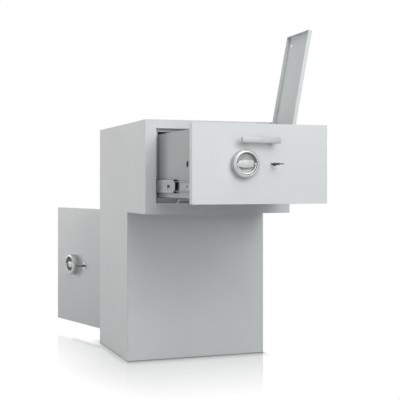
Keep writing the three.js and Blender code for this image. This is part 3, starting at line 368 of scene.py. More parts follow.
def softened(name, radius_mm, edge_highlight_finish=None, finish=None):
    """Replaces a node with a copy that has rounded edges, and returns it."""
    piece = frame["nodes"][name].copy()
    piece.data = piece.data.copy()
    piece.parent = None
    piece.matrix_world = Matrix.Identity(4)
    piece.name = name + "_rounded"
    bpy.context.scene.collection.objects.link(piece)
    pick(piece)
    bpy.ops.object.mode_set(mode="EDIT")
    bpy.ops.mesh.select_all(action="SELECT")
    bpy.ops.mesh.remove_doubles(threshold=SAME_POINT_MM * MM)
    bpy.ops.mesh.dissolve_limited(angle_limit=NEARLY_FLAT)
    bpy.ops.object.mode_set(mode="OBJECT")
    rounding = piece.modifiers.new("rounded_edges", "BEVEL")
    rounding.width = radius_mm * MM
    rounding.segments = 2
    rounding.limit_method = "ANGLE"
    rounding.angle_limit = SHARP_EDGE
    if finish:
        piece.data.materials[0] = finish
    # A painted highlight: the bevel's faces take the lighter edge finish.
    if edge_highlight_finish:
        piece.data.materials.append(edge_highlight_finish)
        rounding.material = 1
    bpy.ops.object.modifier_apply(modifier=rounding.name)
    bpy.ops.object.shade_smooth_by_angle(angle=SMOOTH_SHADE)
    flat_light = piece.modifiers.new("flat_faces_stay_flat", "WEIGHTED_NORMAL")
    flat_light.keep_sharp = True
    bpy.ops.object.modifier_apply(modifier=flat_light.name)
    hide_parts(name)
    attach(piece, body_of[name])
    return piece


edge_radii = {
    "side_panel_left": 1.2,
    "side_panel_right": 1.2,
    "top_panel": 0.6,
    "front_frame": 2.0,
    "upper_back_panel": 0.6,
    "upper_floor": 0.6,
    "lower_front_panel": 1.8,
    "base_panel": 0.6,
    "rear_frame": 0.6,
    "drop_baffle": 0.4,
    "drawer_front": 1.2,
    "drawer_front_back": 0.5,
    "drawer_tray": 0.5,
    "lock_cover": 0.4,
    "deposit_wall_front": 0.4,
    "deposit_wall_back": 0.4,
    "drawer_back": 0.4,
    "deposit_rim": 0.4,
    "deposit_lid": 0.6,
    "door_panel": 0.8,
    "door_cover": 0.4,
    "inner_side_left": 0.4,
    "inner_side_right": 0.4,
    "slide_cabinet_member_left": 0.2,
    "slide_cabinet_member_right": 0.2,
    "slide_middle_member_left": 0.2,
    "slide_middle_member_right": 0.2,
    "slide_drawer_member_left": 0.2,
    "slide_drawer_member_right": 0.2,
    "hinge_pin_half_lower": 0.4,
    "hinge_pin_half_upper": 0.4,
    "hinge_socket_half_lower": 0.4,
    "hinge_socket_half_upper": 0.4,
    "door_bolt_bar": 0.4,
    "drawer_lock_case": 0.8,
    "door_lock_case": 0.8,
    "trap_flap": 0.3,
    "trap_striker": 0.3,
    "trap_hinge_barrel_left": 0.2,
    "trap_hinge_barrel_right": 0.2,
    "trap_hinge_pin": 0.3,
    "trap_spring": 0.1,
    "lid_hinge_pin": 0.3,
    "drawer_pinion": 0.15,
    "door_pinion": 0.15,
}
# Powder-coated pieces get the painted edge highlight on their bevels.
for name, radius in edge_radii.items():
    painted = slot_of[name] == "powder_grey"
    rounded = softened(name, radius, edge_highlight_finish=painted_edge_highlight if painted else None)
    print(name, len(rounded.data.polygons), "faces")

# %% [markdown]
# ## Where the lock sets sit
# The drawer and the door have the same lock set, once on an upright face that looks forwards and once
# on a door that stands open. The joint of each knob and key already holds a point on the face and the
# direction out of it, so a piece is modelled once, flat on the ground around the origin, and a matrix
# made from the joint stands it up in its place.

# %% Places from the joints
joint_of = {joint["name"]: joint for joint in frame["record"]["behaviour"]["joints"]}
UP = Vector((0, 0, 1))
SMOOTH_UNDER = math.radians(35)


def standing(point, out):
    """A frame at a point of an upright face, with Z out of the face and Y upwards."""
    return Matrix.Translation(point) @ Matrix((UP.cross(out), UP, out)).transposed().to_4x4()


def face_place(joint_name):
    """The frame at a joint, with Z along the joint's axis."""
    return standing(joint_of[joint_name]["pos_m"], Vector(joint_of[joint_name]["axis"]))


def opened():
    """Opens the active piece for editing with everything selected."""
    bpy.ops.object.mode_set(mode="EDIT")
    bpy.ops.mesh.select_all(action="SELECT")


def closed_up():
    """Turns all faces outwards and leaves edit mode."""
    bpy.ops.mesh.select_all(action="SELECT")
    bpy.ops.mesh.normals_make_consistent(inside=False)
    bpy.ops.object.mode_set(mode="OBJECT")


def fixed(piece):
    """Puts a piece's place, turn and scale into its mesh."""
    pick(piece)
    bpy.ops.object.transform_apply(location=True, rotation=True, scale=True)
    return piece


def joined(pieces):
    """Joins pieces into the first one."""
    pick(pieces[0])
    for piece in pieces[1:]:
        piece.select_set(True)
    bpy.ops.object.join()
    return bpy.context.object


def dressed(piece, name, place, finish, body, node=None):
    """Places a copy of a modelled piece, names it, gives it a finish, hangs it on its body and hides a
    node that it replaces.
    """
    twin = piece.copy()
    twin.data = piece.data.copy()
    twin.name = name
    bpy.context.scene.collection.objects.link(twin)
    twin.matrix_world = place @ piece.matrix_world
    fixed(twin)
    bpy.ops.object.shade_smooth_by_angle(angle=SMOOTH_UNDER)
    twin.data.materials.clear()
    twin.data.materials.append(finish)
    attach(twin, body)
    if node:
        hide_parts(node)
    return twin


def put_away(*pieces):
    """Deletes the models that were only there to be copied."""
    for piece in pieces:
        bpy.data.objects.remove(piece)


print("lock sets at", [round(v, 3) for v in face_place("drawer_knob_turn").translation])

# %% [markdown]
# ## Turned pieces
# Rings, knobs, shafts and screw heads come off a lathe. A circle is added at the first radius, and each
# step extrudes its edge and scales it to the next radius, as one would by hand. That keeps every step
# readable as a radius and a height in millimetres. Spinning a profile does the same, but it leaves a
# seam and poles to merge.

# %% Turn a piece
def turned(steps, sides=64, hollow=False):
    """A turned piece through (radius, height) steps in mm; a hollow one closes onto its start."""
    bpy.ops.object.select_all(action="DESELECT")
    radius, height = steps[0]
    bpy.ops.mesh.primitive_circle_add(vertices=sides, radius=radius * MM, location=(0, 0, height * MM))
    piece = fixed(bpy.context.object)
    opened()
    for next_radius, next_height in steps[1:]:
        bpy.ops.mesh.extrude_region_move(
            TRANSFORM_OT_translate={"value": (0, 0, (next_height - height) * MM)}
        )
        grow = next_radius / radius
        bpy.ops.transform.resize(value=(grow, grow, 1), center_override=(0, 0, next_height * MM))
        radius, height = next_radius, next_height
    bpy.ops.mesh.select_all(action="DESELECT")
    bpy.ops.mesh.select_non_manifold()
    if hollow:
        bpy.ops.mesh.bridge_edge_loops()
    else:
        bpy.ops.mesh.fill_holes(sides=0)
    closed_up()
    return piece


# %% [markdown]
# ## Knobs
# The knob is a round cup that turns inside a fixed ring. A flat bar across the cup, a little taller in
# its middle, gives the fingers their hold. Two small ears at its ends carry a bright wire bail, which
# hangs round the lower half of the cup. The ring is a thick turned collar with a sloped face and a fine
# groove at its foot. The cup stays low inside it, which leaves the dark gap that the eye reads as a
# separate part. One mesh would do for a picture, but the cup turns and the ring doesn't.

# %% Knob ring
ring_steps = [
    (28.8, 0), (36.6, 0), (36.6, 1.6), (35.9, 2.0), (35.9, 2.8), (36.6, 3.2), (36.6, 16.8),
    (36.3, 17.9), (35.5, 18.8), (33.8, 19.8), (31.6, 20.6), (30.3, 20.9), (29.5, 20.8),
    (29.0, 20.4), (28.8, 19.8),
]
ring_model = turned(ring_steps, sides=96, hollow=True)
print("ring", len(ring_model.data.polygons), "faces")

# %% Knob cup and spindle
SPINDLE_END = -62
cup_model = turned([
    (6.4, SPINDLE_END), (7, SPINDLE_END + 0.6), (7, 0.3), (28.4, 0.3), (28.4, 8.6), (28, 9.2),
    (27.4, 9.2), (26.9, 8.4), (26.1, 7.2), (25, 6.7), (2, 6.7),
])
print("cup", len(cup_model.data.polygons), "faces")

# %% Grip bar with its ears
GRIP_FOOT, EAR_PLACE, EAR_ABOVE = 6.0, 23.4, 1.6
BAIL_RADIUS, BAIL_HEIGHT, BAIL_WIRE = 25.6, 18.4, 1.4


def slab(wide, tall, corner, face, edge):
    """A flat bar in front of the cup: its outline has round corners, and its face has soft edges."""
    bpy.ops.object.select_all(action="DESELECT")
    bpy.ops.mesh.primitive_plane_add(size=MM, location=(0, 0, GRIP_FOOT * MM))
    piece = bpy.context.object
    piece.scale = (wide, tall, 1)
    fixed(piece)
    opened()
    bpy.ops.mesh.bevel(offset=corner * MM, segments=6, affect="VERTICES")
    bpy.ops.mesh.extrude_region_move(
        TRANSFORM_OT_translate={"value": (0, 0, (face - GRIP_FOOT) * MM)}
    )
    closed_up()
    soft = piece.modifiers.new("soft_edges", "BEVEL")
    soft.width = edge * MM
    soft.segments = 3
    soft.limit_method = "ANGLE"
    soft.angle_limit = math.radians(50)
    bpy.ops.object.modifier_apply(modifier=soft.name)
    return piece


grip_parts = [
    slab(wide=45.4, tall=18.6, corner=6.0, face=15.6, edge=1.4),
    slab(wide=23, tall=21.2, corner=3.0, face=16.2, edge=1.2),
]
for side in (-1, 1):
    ear = slab(wide=4.4, tall=4.6, corner=1.2, face=BAIL_HEIGHT + EAR_ABOVE, edge=0.6)
    ear.location.x = side * EAR_PLACE * MM
    grip_parts.append(fixed(ear))
grip_model = joined(grip_parts)
print("grip", len(grip_model.data.polygons), "faces")

# %% Bail
EYE_STEPS = [(1.2, -1.7), (1.9, -1.1), (2.2, 0), (1.9, 1.1), (1.2, 1.7)]
bpy.ops.object.select_all(action="DESELECT")
bpy.ops.mesh.primitive_torus_add(
    major_radius=BAIL_RADIUS * MM, minor_radius=BAIL_WIRE * MM, major_segments=72, minor_segments=12,
    location=(0, 0, BAIL_HEIGHT * MM),
)
wire = fixed(bpy.context.object)
opened()
bpy.ops.mesh.bisect(plane_co=(0, 0, 0), plane_no=(0, 1, 0), clear_outer=True, use_fill=True)
closed_up()
eyes = []
for side in (-1, 1):
    eye = turned(EYE_STEPS, sides=20)
    eye.rotation_euler = (0, math.radians(90), 0)
    eye.location = (side * BAIL_RADIUS * MM, 0, BAIL_HEIGHT * MM)
    eyes.append(fixed(eye))
bail_model = joined([wire, *eyes])
print("bail", len(bail_model.data.polygons), "faces")

# %% Knobs on the drawer and the door
ROSE_EDGE = 0.3


def reach_in(node, place):
    """How far a node reaches behind the face of its lock set, in mm."""
    inward = place.inverted()
    return min((inward @ vertex.co).z for vertex in frame["nodes"][node].data.vertices) / MM


for side in ("drawer", "door"):
    place = face_place(side + "_knob_turn")
    ring_node, grip_node = side + "_knob_ring", side + "_knob_grip"
    turns = body_of[grip_node]
    dressed(
        ring_model, side + "_turned_ring", place, silver_lacquer,
        body_of[ring_node], ring_node,
    )
    knob = dressed(
        cup_model, side + "_knob_cup", place, cup_lacquer, turns, grip_node
    )
    dressed(grip_model, side + "_knob_grip_bar", place, grip_lacquer, turns)
    dressed(bail_model, side + "_knob_bail", place, bright_wire, turns)
    shorter = (reach_in(grip_node, place) - SPINDLE_END) * MM
    inward = place.inverted()
    for vertex in knob.data.vertices:
        if (inward @ vertex.co).z < -MM:
            vertex.co += place.to_3x3() @ Vector((0, 0, shorter))
    print(side, "knob at", [round(v, 3) for v in place.translation], "spindle moved", round(shorter, 4))
    softened(side + "_keyhole_rose", ROSE_EDGE, finish=rose_satin)
put_away(ring_model, cup_model, grip_model, bail_model)

# %% [markdown]
# ## Keys
# A double-bit safe key has a round shaft with a collar that stops it at the face, an oval bow and a
# flat bit that is hidden in the lock. The bow is a torus, stretched to an oval and pressed a little
# flat, which is also how a cheap cast bow looks. The drawer's key stands further out than the door's.

# %% Keys
BOW_LENGTH, BOW_RING, BOW_WIRE, BOW_SQUEEZE = 24, 7.2, 1.8, 0.8
NECK_BELOW = 22
BIT_WIDE, BIT_THICK, BIT_LONG, BIT_PLACE, BIT_NOTCH = 20, 2.6, 15, 10, 1.2
BIT_STEPS = 5


def key_model(projection, inside):
    """A key that stands out of its face by projection and reaches inside, both in mm."""
    neck = projection - NECK_BELOW
    shaft = turned([
        (2.2, -inside), (2.9, -inside + 0.6), (2.9, 1.6), (4.3, 2.0), (4.6, 3.2), (4.3, 4.4), (3.0, 4.8),
        (3.0, neck), (2.2, neck + 1.2),
    ], sides=24)

    bow_middle = (0, 0, (projection - BOW_LENGTH / 2) * MM)
    bpy.ops.object.select_all(action="DESELECT")
    bpy.ops.mesh.primitive_torus_add(
        major_radius=BOW_RING * MM, minor_radius=BOW_WIRE * MM, major_segments=40, minor_segments=10,
        location=bow_middle, rotation=(math.radians(90), 0, 0),
    )
    bow = fixed(bpy.context.object)
    opened()
    longer = BOW_LENGTH / 2 / (BOW_RING + BOW_WIRE)
    bpy.ops.transform.resize(value=(1, BOW_SQUEEZE, longer), center_override=bow_middle)
    closed_up()

    bpy.ops.object.select_all(action="DESELECT")
    bpy.ops.mesh.primitive_cube_add(size=MM, location=(0, 0, (BIT_PLACE - inside) * MM))
    bit = bpy.context.object
    bit.scale = (BIT_WIDE, BIT_THICK, BIT_LONG)
    fixed(bit)
    opened()
    bpy.ops.mesh.subdivide(number_cuts=BIT_STEPS - 1)
    bpy.ops.mesh.select_all(action="DESELECT")
    bpy.ops.object.mode_set(mode="OBJECT")
    for face in bit.data.polygons:
        steps_apart = round((face.center.z / MM + inside - BIT_PLACE) / (BIT_LONG / BIT_STEPS))
        face.select = abs(face.normal.x) > 0.9 and steps_apart % 2 == 0
    bpy.ops.object.mode_set(mode="EDIT")
    bpy.ops.mesh.extrude_region_shrink_fatten(TRANSFORM_OT_shrink_fatten={"value": -BIT_NOTCH * MM})
    closed_up()
    return joined([shaft, bow, bit])


for side, projection in (("drawer", 50), ("door", 36)):
    place = face_place(side + "_key_turn")
    model = key_model(projection, -reach_in(side + "_key", place))
    dressed(
        model, side + "_double_bit_key", place, key_nickel,
        body_of[side + "_key"], side + "_key",
    )
    put_away(model)
    print(side, "key", projection, "mm out")

# %% [markdown]
# ## The handle
# The handle is a flat bar on two legs, screwed on from inside. The legs stand in from the ends, so from
# the side only the bar's thin end shows. Three rounded blocks make it. Extruding the legs out of the
# bar's back would do as well, but each leg's place in from the end is easier to read as a block.

# %% Handle
BAR_THICK, BAR_ROUND, BAR_IN_LEFT, BAR_IN_RIGHT = 7, 1.8, 3, 1
LEG_IN, LEG_WIDE, LEG_NARROWER, LEG_ROUND, LEG_OVERLAP = 13, 12, 3, 0.8, 1


def block(low, high, rounding, segments=3):
    """A rounded block between two corners: the corners are in metres, the rounding in mm."""
    bpy.ops.object.select_all(action="DESELECT")
    middle = (Vector(low) + Vector(high)) / 2
    bpy.ops.mesh.primitive_cube_add(size=1, location=middle)
    piece = bpy.context.object
    piece.scale = Vector(high) - Vector(low)
    fixed(piece)
    opened()
    bpy.ops.mesh.bevel(offset=rounding * MM, segments=segments, affect="EDGES")
    closed_up()
    return piece


handle_low, handle_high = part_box("drawer_handle")
bar_left, bar_right = handle_low.x + BAR_IN_LEFT * MM, handle_high.x - BAR_IN_RIGHT * MM
bar_back = handle_low.y + BAR_THICK * MM
handle_parts = [
    block(
        (bar_left, handle_low.y, handle_low.z), (bar_right, bar_back, handle_high.z),
        BAR_ROUND, segments=4,
    )
]
for leg_left in (bar_left + LEG_IN * MM, bar_right - (LEG_IN + LEG_WIDE) * MM):
    handle_parts.append(block(
        (leg_left, bar_back - LEG_OVERLAP * MM, handle_low.z + LEG_NARROWER * MM),
        (leg_left + LEG_WIDE * MM, handle_high.y, handle_high.z - LEG_NARROWER * MM),
        LEG_ROUND,
    ))
handle_model = joined(handle_parts)
handle = dressed(
    handle_model, "drawer_bar_handle", Matrix.Identity(4), handle_nickel,
    body_of["drawer_handle"], "drawer_handle",
)
put_away(handle_model)
print("handle", [round(v / MM, 1) for v in handle.dimensions])

# %% [markdown]
# ## Bolts that rest inside the wall
# The drawer's bolts stop a few millimetres inside the holes of the tray's wall, so each hole reads as a
# dark round mark with a lit rim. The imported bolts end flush, so a merged copy of each has its tip
# moved back. Its rack and its place don't change.

# %% Drawer bolts
BOLT_EDGE, BOLT_RECESS, TIP_REGION = 0.4, 7, 2
for hand, inward_x in (("left", 1), ("right", -1)):
    bolt = softened("drawer_bolt_" + hand, BOLT_EDGE)
    box_low, box_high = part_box("drawer_bolt_" + hand)
    tip_x = box_low.x if inward_x > 0 else box_high.x
    for vertex in bolt.data.vertices:
        if abs(vertex.co.x - tip_x) < TIP_REGION * MM:
            vertex.co.x += inward_x * BOLT_RECESS * MM
    print("bolt", hand, "tip at", round(tip_x / MM + inward_x * BOLT_RECESS, 1))

# %% [markdown]
# ## Slide fittings
# Each telescopic slide has a black end stop on the front of its middle member: two blocks with a bow
# between them, in front of the steel cage of the balls. A stamped pad behind it holds the black lever
# that frees the drawer. They are small, but dark on pale steel, so the eye finds them. They are modelled
# on the left slide and mirrored to the right, and mirrored meshes get their normals recalculated.

# %% End stop of the left slide
stop_low, stop_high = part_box("slide_bumper_left")
slide_level = (stop_low.z + stop_high.z) / 2
STOP_TALL, STOP_OVER, STOP_IN, STOP_BEHIND, STOP_ROUND = 4.4, 0.5, 2, 12, 1.6
BOW_HALF, BOW_SAG, BOW_AHEAD, BOW_IN, BOW_THICK = 11.6, 8.5, 1.5, 3.2, 1.6
stop_ends = []
for side in (-1, 1):
    outer = slide_level + side * (stop_high.z - slide_level + STOP_OVER * MM)
    inner = outer - side * STOP_TALL * MM
    stop_ends.append(block(
        (stop_low.x, stop_low.y, min(inner, outer)),
        (stop_high.x - STOP_IN * MM, stop_high.y + STOP_BEHIND * MM, max(inner, outer)),
        STOP_ROUND,
    ))
bow_radius = (BOW_HALF ** 2 + BOW_SAG ** 2) / (2 * BOW_SAG)
bow_x = stop_low.x + BOW_IN * MM
bow_middle_y = stop_low.y + (bow_radius - BOW_AHEAD) * MM
bpy.ops.object.select_all(action="DESELECT")
bpy.ops.mesh.primitive_torus_add(
    major_radius=bow_radius * MM, minor_radius=BOW_THICK * MM, major_segments=120, minor_segments=10,
    location=(bow_x, bow_middle_y, slide_level), rotation=(0, math.radians(90), 0),
)
bow = fixed(bpy.context.object)
opened()
cuts = [((0, 0, slide_level + side * BOW_HALF * MM), (0, 0, side)) for side in (-1, 1)]
cuts.append(((0, bow_middle_y, 0), (0, 1, 0)))
for cut_point, cut_away in cuts:
    bpy.ops.mesh.select_all(action="SELECT")
    bpy.ops.mesh.bisect(plane_co=cut_point, plane_no=cut_away, clear_outer=True, use_fill=True)
closed_up()
end_stop = joined([*stop_ends, bow])
print("end stop", len(end_stop.data.polygons), "faces")

# %% Cage, pad and lever of the left slide
middle_low, middle_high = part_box("slide_middle_member_left")


def plate(left, right, front, back, half_tall, rounding):
    """A plate at the slide's level between four places in metres."""
    return block(
        (left, front, slide_level - half_tall * MM),
        (right, back, slide_level + half_tall * MM),
        rounding,
    )


CAGE_HALF, CAGE_FACE, CAGE_BACK, CAGE_FRONT, CAGE_END = 10.6, 0.6, 1.6, 0.5, 5
cage_strip = plate(
    stop_low.x + CAGE_FACE * MM, stop_low.x + CAGE_BACK * MM,
    stop_low.y + CAGE_FRONT * MM, stop_high.y + CAGE_END * MM, CAGE_HALF, rounding=0.4,
)
PAD_HALF, PAD_BEHIND, PAD_LONG, PAD_PROUD, PAD_SUNK = 8, 24, 40, 0.6, 0.3
pad_front = middle_low.y + PAD_BEHIND * MM
pad = plate(
    middle_low.x - PAD_PROUD * MM, middle_low.x + PAD_SUNK * MM,
    pad_front, pad_front + PAD_LONG * MM, PAD_HALF, rounding=0.4,
)
LEVER_HALF, LEVER_START, LEVER_END, LEVER_PROUD, LEVER_SUNK = 4.2, 9, 31, 0.75, 0.2
lever = plate(
    middle_low.x - LEVER_PROUD * MM, middle_low.x + LEVER_SUNK * MM,
    pad_front + LEVER_START * MM, pad_front + LEVER_END * MM, LEVER_HALF, rounding=0.25,
)
fittings = (end_stop, cage_strip, pad, lever)
print("fittings", [len(piece.data.polygons) for piece in fittings])

# %% Fittings on both slides
for hand, flip in (("left", 1), ("right", -1)):
    side_of = Matrix.Diagonal((flip, 1, 1, 1))
    bumper = "slide_bumper_" + hand
    rides = body_of[bumper]
    made = [
        dressed(
            end_stop, "slide_end_stop_" + hand, side_of, black_acetal, rides,
            bumper,
        ),
        dressed(cage_strip, "slide_ball_cage_" + hand, side_of, zinc_pad, rides),
        dressed(pad, "slide_stamped_pad_" + hand, side_of, zinc_pad, rides),
        dressed(lever, "slide_release_lever_" + hand, side_of, black_acetal, rides),
    ]
    for piece in made:
        pick(piece)
        opened()
        closed_up()
    print(hand, [piece.name for piece in made])
put_away(*fittings)

# %% [markdown]
# ## Screws
# Button-head screws hold each slide to the tray and the inner cover to the door. One head is turned, and
# a six-sided socket is cut into it with a boolean, which is quicker than a head drawn face by face. All
# the others are copies, each turned so that it stands on its own face.

# %% Model one screw head
SOCKET_RADIUS, SOCKET_DEEP, SOCKET_MIDDLE = 1.25, 2.4, 2.1
screw_model = turned([(3.4, 0), (3.4, 0.5), (3.1, 1.2), (2.5, 1.7), (1.6, 2.0), (0.6, 2.1)], sides=32)
bpy.ops.object.select_all(action="DESELECT")
bpy.ops.mesh.primitive_cylinder_add(
    vertices=6, radius=SOCKET_RADIUS * MM, depth=SOCKET_DEEP * MM, location=(0, 0, SOCKET_MIDDLE * MM)
)
socket = fixed(bpy.context.object)


def cut_out(piece, cutter, name):
    """Takes the cutter's volume out of a piece."""
    cut = piece.modifiers.new(name, "BOOLEAN")
    cut.operation = "DIFFERENCE"
    cut.solver = "EXACT"
    cut.object = cutter
    pick(piece)
    bpy.ops.object.modifier_apply(modifier=cut.name)


cut_out(screw_model, socket, "socket")
put_away(socket)
print("screw", len(screw_model.data.polygons), "faces")

# %% Screws of the slides
SLIDE_SCREW_X, SLIDE_SCREW_Y = 182.4, -612
for hand, sign in (("left", -1), ("right", 1)):
    spot = (sign * SLIDE_SCREW_X * MM, SLIDE_SCREW_Y * MM, slide_level)
    dressed(
        screw_model, "slide_screw_" + hand, standing(spot, Vector((sign, 0, 0))),
        zinc, body_of["slide_drawer_member_" + hand],
    )
    print("slide screw", hand, "at", [round(v, 3) for v in spot])

# %% Screws of the door's cover
COVER_EDGE = 9 * MM
door_place = face_place("door_knob_turn")
cover = [door_place.inverted() @ v.co for v in frame["nodes"]["door_cover"].data.vertices]
cover_low = Vector([min(v[i] for v in cover) for i in range(3)])
cover_high = Vector([max(v[i] for v in cover) for i in range(3)])
inner_face = Matrix.Rotation(math.radians(180), 4, "Y")
for row, share in enumerate((0.0, 0.5, 1.0)):
    up = cover_low.y + COVER_EDGE + share * (cover_high.y - cover_low.y - 2 * COVER_EDGE)
    for column, across in enumerate((cover_low.x + COVER_EDGE, cover_high.x - COVER_EDGE)):
        spot = Matrix.Translation((across, up, cover_low.z))
        dressed(
            screw_model, "door_cover_screw_%d%d" % (row, column), door_place @ spot @ inner_face,
            zinc, body_of["door_cover"],
        )
put_away(screw_model)
print("the door's cover spans", [round((b - a) / MM) for a, b in zip(cover_low, cover_high)])

# %% [markdown]
# ## The stop frame
# Behind the front frame's fold stands a thin plate with a window that just lets the tray pass. The shut
# drawer's front rests on it, and with the drawer out it closes the gaps round the tray, so the eye meets
# a grey rim and not the dark of the box. The window and the notches for the slides are cut by booleans,
# because the plate is one flat blank, which a laser or a punch would cut the same way.

# %% Stop frame
PLATE, PLATE_GAP, TRAY_GAP, RIM_TOP, RIM_FOOT = 1.4, 0.1, 1.2, 9.5, 15.0
SLIDE_GAP, NOTCH_SHORT, THROUGH = 1.5, 0.4, 10
lining_low, lining_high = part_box("inner_side_left")
tray_low, tray_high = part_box("drawer_tray")
plate_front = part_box("front_frame")[1].y
cut_from, cut_to = plate_front - THROUGH * MM, plate_front + THROUGH * MM
stop_frame = block(
    (lining_high.x + PLATE_GAP * MM, plate_front + PLATE_GAP * MM, lining_low.z),
    (-lining_high.x - PLATE_GAP * MM, plate_front + (PLATE_GAP + PLATE) * MM, lining_high.z),
    rounding=0.2, segments=1,
)
cutters = [
    block(
        (tray_low.x - TRAY_GAP * MM, cut_from, lining_low.z + RIM_FOOT * MM),
        (tray_high.x + TRAY_GAP * MM, cut_to, lining_high.z - RIM_TOP * MM),
        rounding=1, segments=2,
    ),
    block(
        (lining_high.x + NOTCH_SHORT * MM, cut_from, middle_low.z - SLIDE_GAP * MM),
        (-lining_high.x - NOTCH_SHORT * MM, cut_to, middle_high.z + SLIDE_GAP * MM),
        rounding=0.5, segments=2,
    ),
]
for cutter in cutters:
    cut_out(stop_frame, cutter, "opening")
put_away(*cutters)
dressed(
    stop_frame, "drawer_stop_frame", Matrix.Identity(4), paint,
    body_of["inner_side_left"],
)
put_away(stop_frame)
print("stop frame behind y =", round(plate_front / MM), "mm")

# %% [markdown]
# ## Studio
# The photograph has a seamless white ground that mirrors the foot of the safe, and the mirror image
# fades out within half a metre. A white floor would throw too much light back under the overhang, so
# the paper is a middle grey to the light, and to the eye it is white. Close to the foot it also takes
# part of the shadow and of the mirror image, by how far a point of the floor lies outside the base.
# Both end sooner on the right, where the light comes from, and a narrow dark band along the front and
# the back is a painted contact shadow under the base plate's edge. A painted backdrop would hold one
# view only.

# %% What the eye and the metal see
def direct_view(tree):
    """1 for rays from the camera, from a polished surface or through glass, 0 for all other light."""
    rays = add_node(tree, "ShaderNodeLightPath").outputs
    bounced = calc(tree, "MAXIMUM", rays["Is Glossy Ray"], rays["Is Transmission Ray"])
    return calc(tree, "MAXIMUM", rays["Is Camera Ray"], bounced)


def mixed(tree, share, first, second):
    """The first shader where the share is 0, and the second where it is 1."""
    shaders = {0: share, 1: first.outputs[0], 2: second.outputs[0]}
    return add_node(tree, "ShaderNodeMixShader", links=shaders)


print("view helpers", direct_view.__name__, mixed.__name__)

# %% How far a point of the floor lies outside the foot
SIDEWAYS_FADE, LIT_SIDE_FADE, CONTACT_SHADOW_SIDEWAYS = 2.5, 30.0, 30.0
ground, ground_tree, ground_place = start_finish("white_seamless_paper")


def on_floor(operation, *values):
    """A math node on places of the floor."""
    return calc(ground_tree, operation, *values, kind="ShaderNodeVectorMath")


front_edge, back_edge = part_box("lower_front_panel")[0].y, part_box("base_panel")[1].y
half_width = -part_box("side_panel_left")[0].x
from_middle = on_floor("SUBTRACT", ground_place, (0, (front_edge + back_edge) / 2, 0))
past_edge = on_floor(
    "SUBTRACT", on_floor("ABSOLUTE", from_middle), (half_width, (back_edge - front_edge) / 2, 1)
)
outside = on_floor("MAXIMUM", past_edge, (0, 0, 0))
distance = on_floor("LENGTH", on_floor("MULTIPLY", outside, (SIDEWAYS_FADE, 1, 1)))
to_right = add_node(ground_tree, "ShaderNodeSeparateXYZ", links={"Vector": from_middle}).outputs["X"]
past_right = calc(ground_tree, "MAXIMUM", calc(ground_tree, "SUBTRACT", to_right, half_width), 0.0)
away = calc(ground_tree, "MULTIPLY_ADD", past_right, LIT_SIDE_FADE, distance)
out_parts = add_node(ground_tree, "ShaderNodeSeparateXYZ", links={"Vector": outside}).outputs
# How far a point lies in front of or behind the foot, for the painted contact shadow.
contact_shadow_distance = calc(ground_tree, "MULTIPLY_ADD", out_parts["X"], CONTACT_SHADOW_SIDEWAYS, out_parts["Y"])
print("foot from y", round(front_edge, 3), "to", round(back_edge, 3), "half width", round(half_width, 3))

# %% Floor
PAPER_SIZE, FIBRE_MM, PAPER_ROUGHNESS, MIRROR_ROUGHNESS = 24, 3, 0.8, 0.08
SHADE_REACH, SHADE_AT_FOOT = 0.07, 0.85
MIRROR_REACH, MIRROR_AT_FOOT = 0.52, 0.6
# The painted contact shadow: a dark band along the foot's front and back.
CONTACT_SHADOW_REACH, CONTACT_SHADOW_AT_FOOT = 0.034, 0.5
bpy.ops.object.select_all(action="DESELECT")
bpy.ops.mesh.primitive_plane_add(size=PAPER_SIZE, location=(0, 0, 0))
floor = bpy.context.object
floor.name = "studio_floor"
fibre = noise(ground_tree, ground_place, FIBRE_MM, detail=3.0)
paper = two_tone(ground_tree, fibre, pale="#CACACA", deep="#C6C6C6")
matt = add_node(
    ground_tree, "ShaderNodeBsdfDiffuse", {"Roughness": PAPER_ROUGHNESS}, {"Color": paper}
)
white_paper = add_node(ground_tree, "ShaderNodeEmission", {"Strength": 1.0})
mirror = add_node(
    ground_tree, "ShaderNodeBsdfGlossy", {"Color": (1, 1, 1, 1), "Roughness": MIRROR_ROUGHNESS}
)
# A dark diffuse that the eye sees near the foot: a painted contact shadow.
painted_contact_shadow = add_node(ground_tree, "ShaderNodeBsdfDiffuse", {"Color": swatch("#2A2B2C")})
seen = direct_view(ground_tree)


def share_seen(place, reach, at_foot, far_off):
    """Goes from at_foot at the base to far_off at its reach, for what the eye sees only."""
    share = spread(ground_tree, place, start=0.0, end=reach, low=at_foot, high=far_off)
    return calc(ground_tree, "MULTIPLY", share, seen)


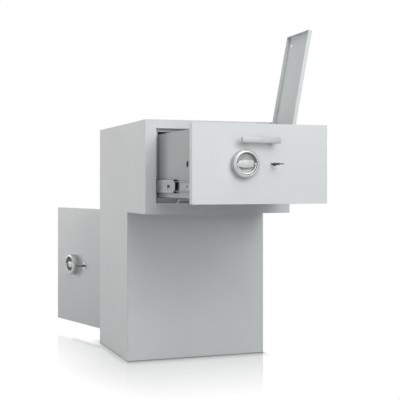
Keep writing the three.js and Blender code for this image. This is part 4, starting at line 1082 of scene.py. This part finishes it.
paper_seen = mixed(
    ground_tree, share_seen(away, SHADE_REACH, 1 - SHADE_AT_FOOT, 1.0), matt, white_paper
)
mirrored = mixed(ground_tree, share_seen(away, MIRROR_REACH, MIRROR_AT_FOOT, 0.0), paper_seen, mirror)
# The painted contact shadow is mixed in along the foot's front and back.
floor_with_painted_shadow = mixed(
    ground_tree, share_seen(contact_shadow_distance, CONTACT_SHADOW_REACH, CONTACT_SHADOW_AT_FOOT, 0.0), mirrored, painted_contact_shadow
)
output(ground_tree, floor_with_painted_shadow.outputs[0])
floor.data.materials.append(ground)
print("floor", [round(v, 1) for v in floor.dimensions])

# %% World
ROOM_LIGHT = 0.08
world = bpy.data.worlds.new("studio_world")
bpy.context.scene.world = world
world.use_nodes = True
world_tree = world.node_tree
world_tree.nodes.clear()
room = add_node(world_tree, "ShaderNodeBackground", {"Color": (1, 1, 1, 1), "Strength": ROOM_LIGHT})
white = add_node(world_tree, "ShaderNodeBackground", {"Color": (1, 1, 1, 1), "Strength": 1.0})
sky = mixed(world_tree, direct_view(world_tree), room, white)
add_node(world_tree, "ShaderNodeOutputWorld", links={"Surface": sky.outputs[0]})
print("room", room.inputs["Strength"].default_value)

# %% Lamps
def soft_box(name, place, aim, size, watts):
    """A square soft lamp at a place, turned to look at a point."""
    lamp = bpy.data.lights.new(name, "AREA")
    lamp.shape = "SQUARE"
    lamp.size = size
    lamp.energy = watts
    holder = bpy.data.objects.new(name, lamp)
    holder.location = place
    holder.rotation_euler = (Vector(aim) - Vector(place)).to_track_quat("-Z", "Y").to_euler()
    bpy.context.scene.collection.objects.link(holder)


soft_box("overhead_box", place=(0, -0.8, 3.4), aim=(0, -0.2, 0.4), size=2.0, watts=34)
soft_box("front_high_box", place=(0.3, -3.2, 2.9), aim=(0, -0.3, 0.4), size=2.4, watts=22)
soft_box("front_box", place=(0.7, -3.6, 1.7), aim=(0, -0.3, 0.4), size=2.0, watts=54)
soft_box("left_high_box", place=(-1.6, -3.0, 3.0), aim=(0, -0.3, 0.4), size=1.6, watts=11)
soft_box("left_front_box", place=(-2.4, -3.0, 0.9), aim=(0, -0.2, 0.4), size=1.6, watts=13)
soft_box("left_rear_box", place=(-3.4, 3.4, 1.0), aim=(0, 0, 0.4), size=2.4, watts=78)
bpy.context.scene.view_settings.view_transform = "Standard"
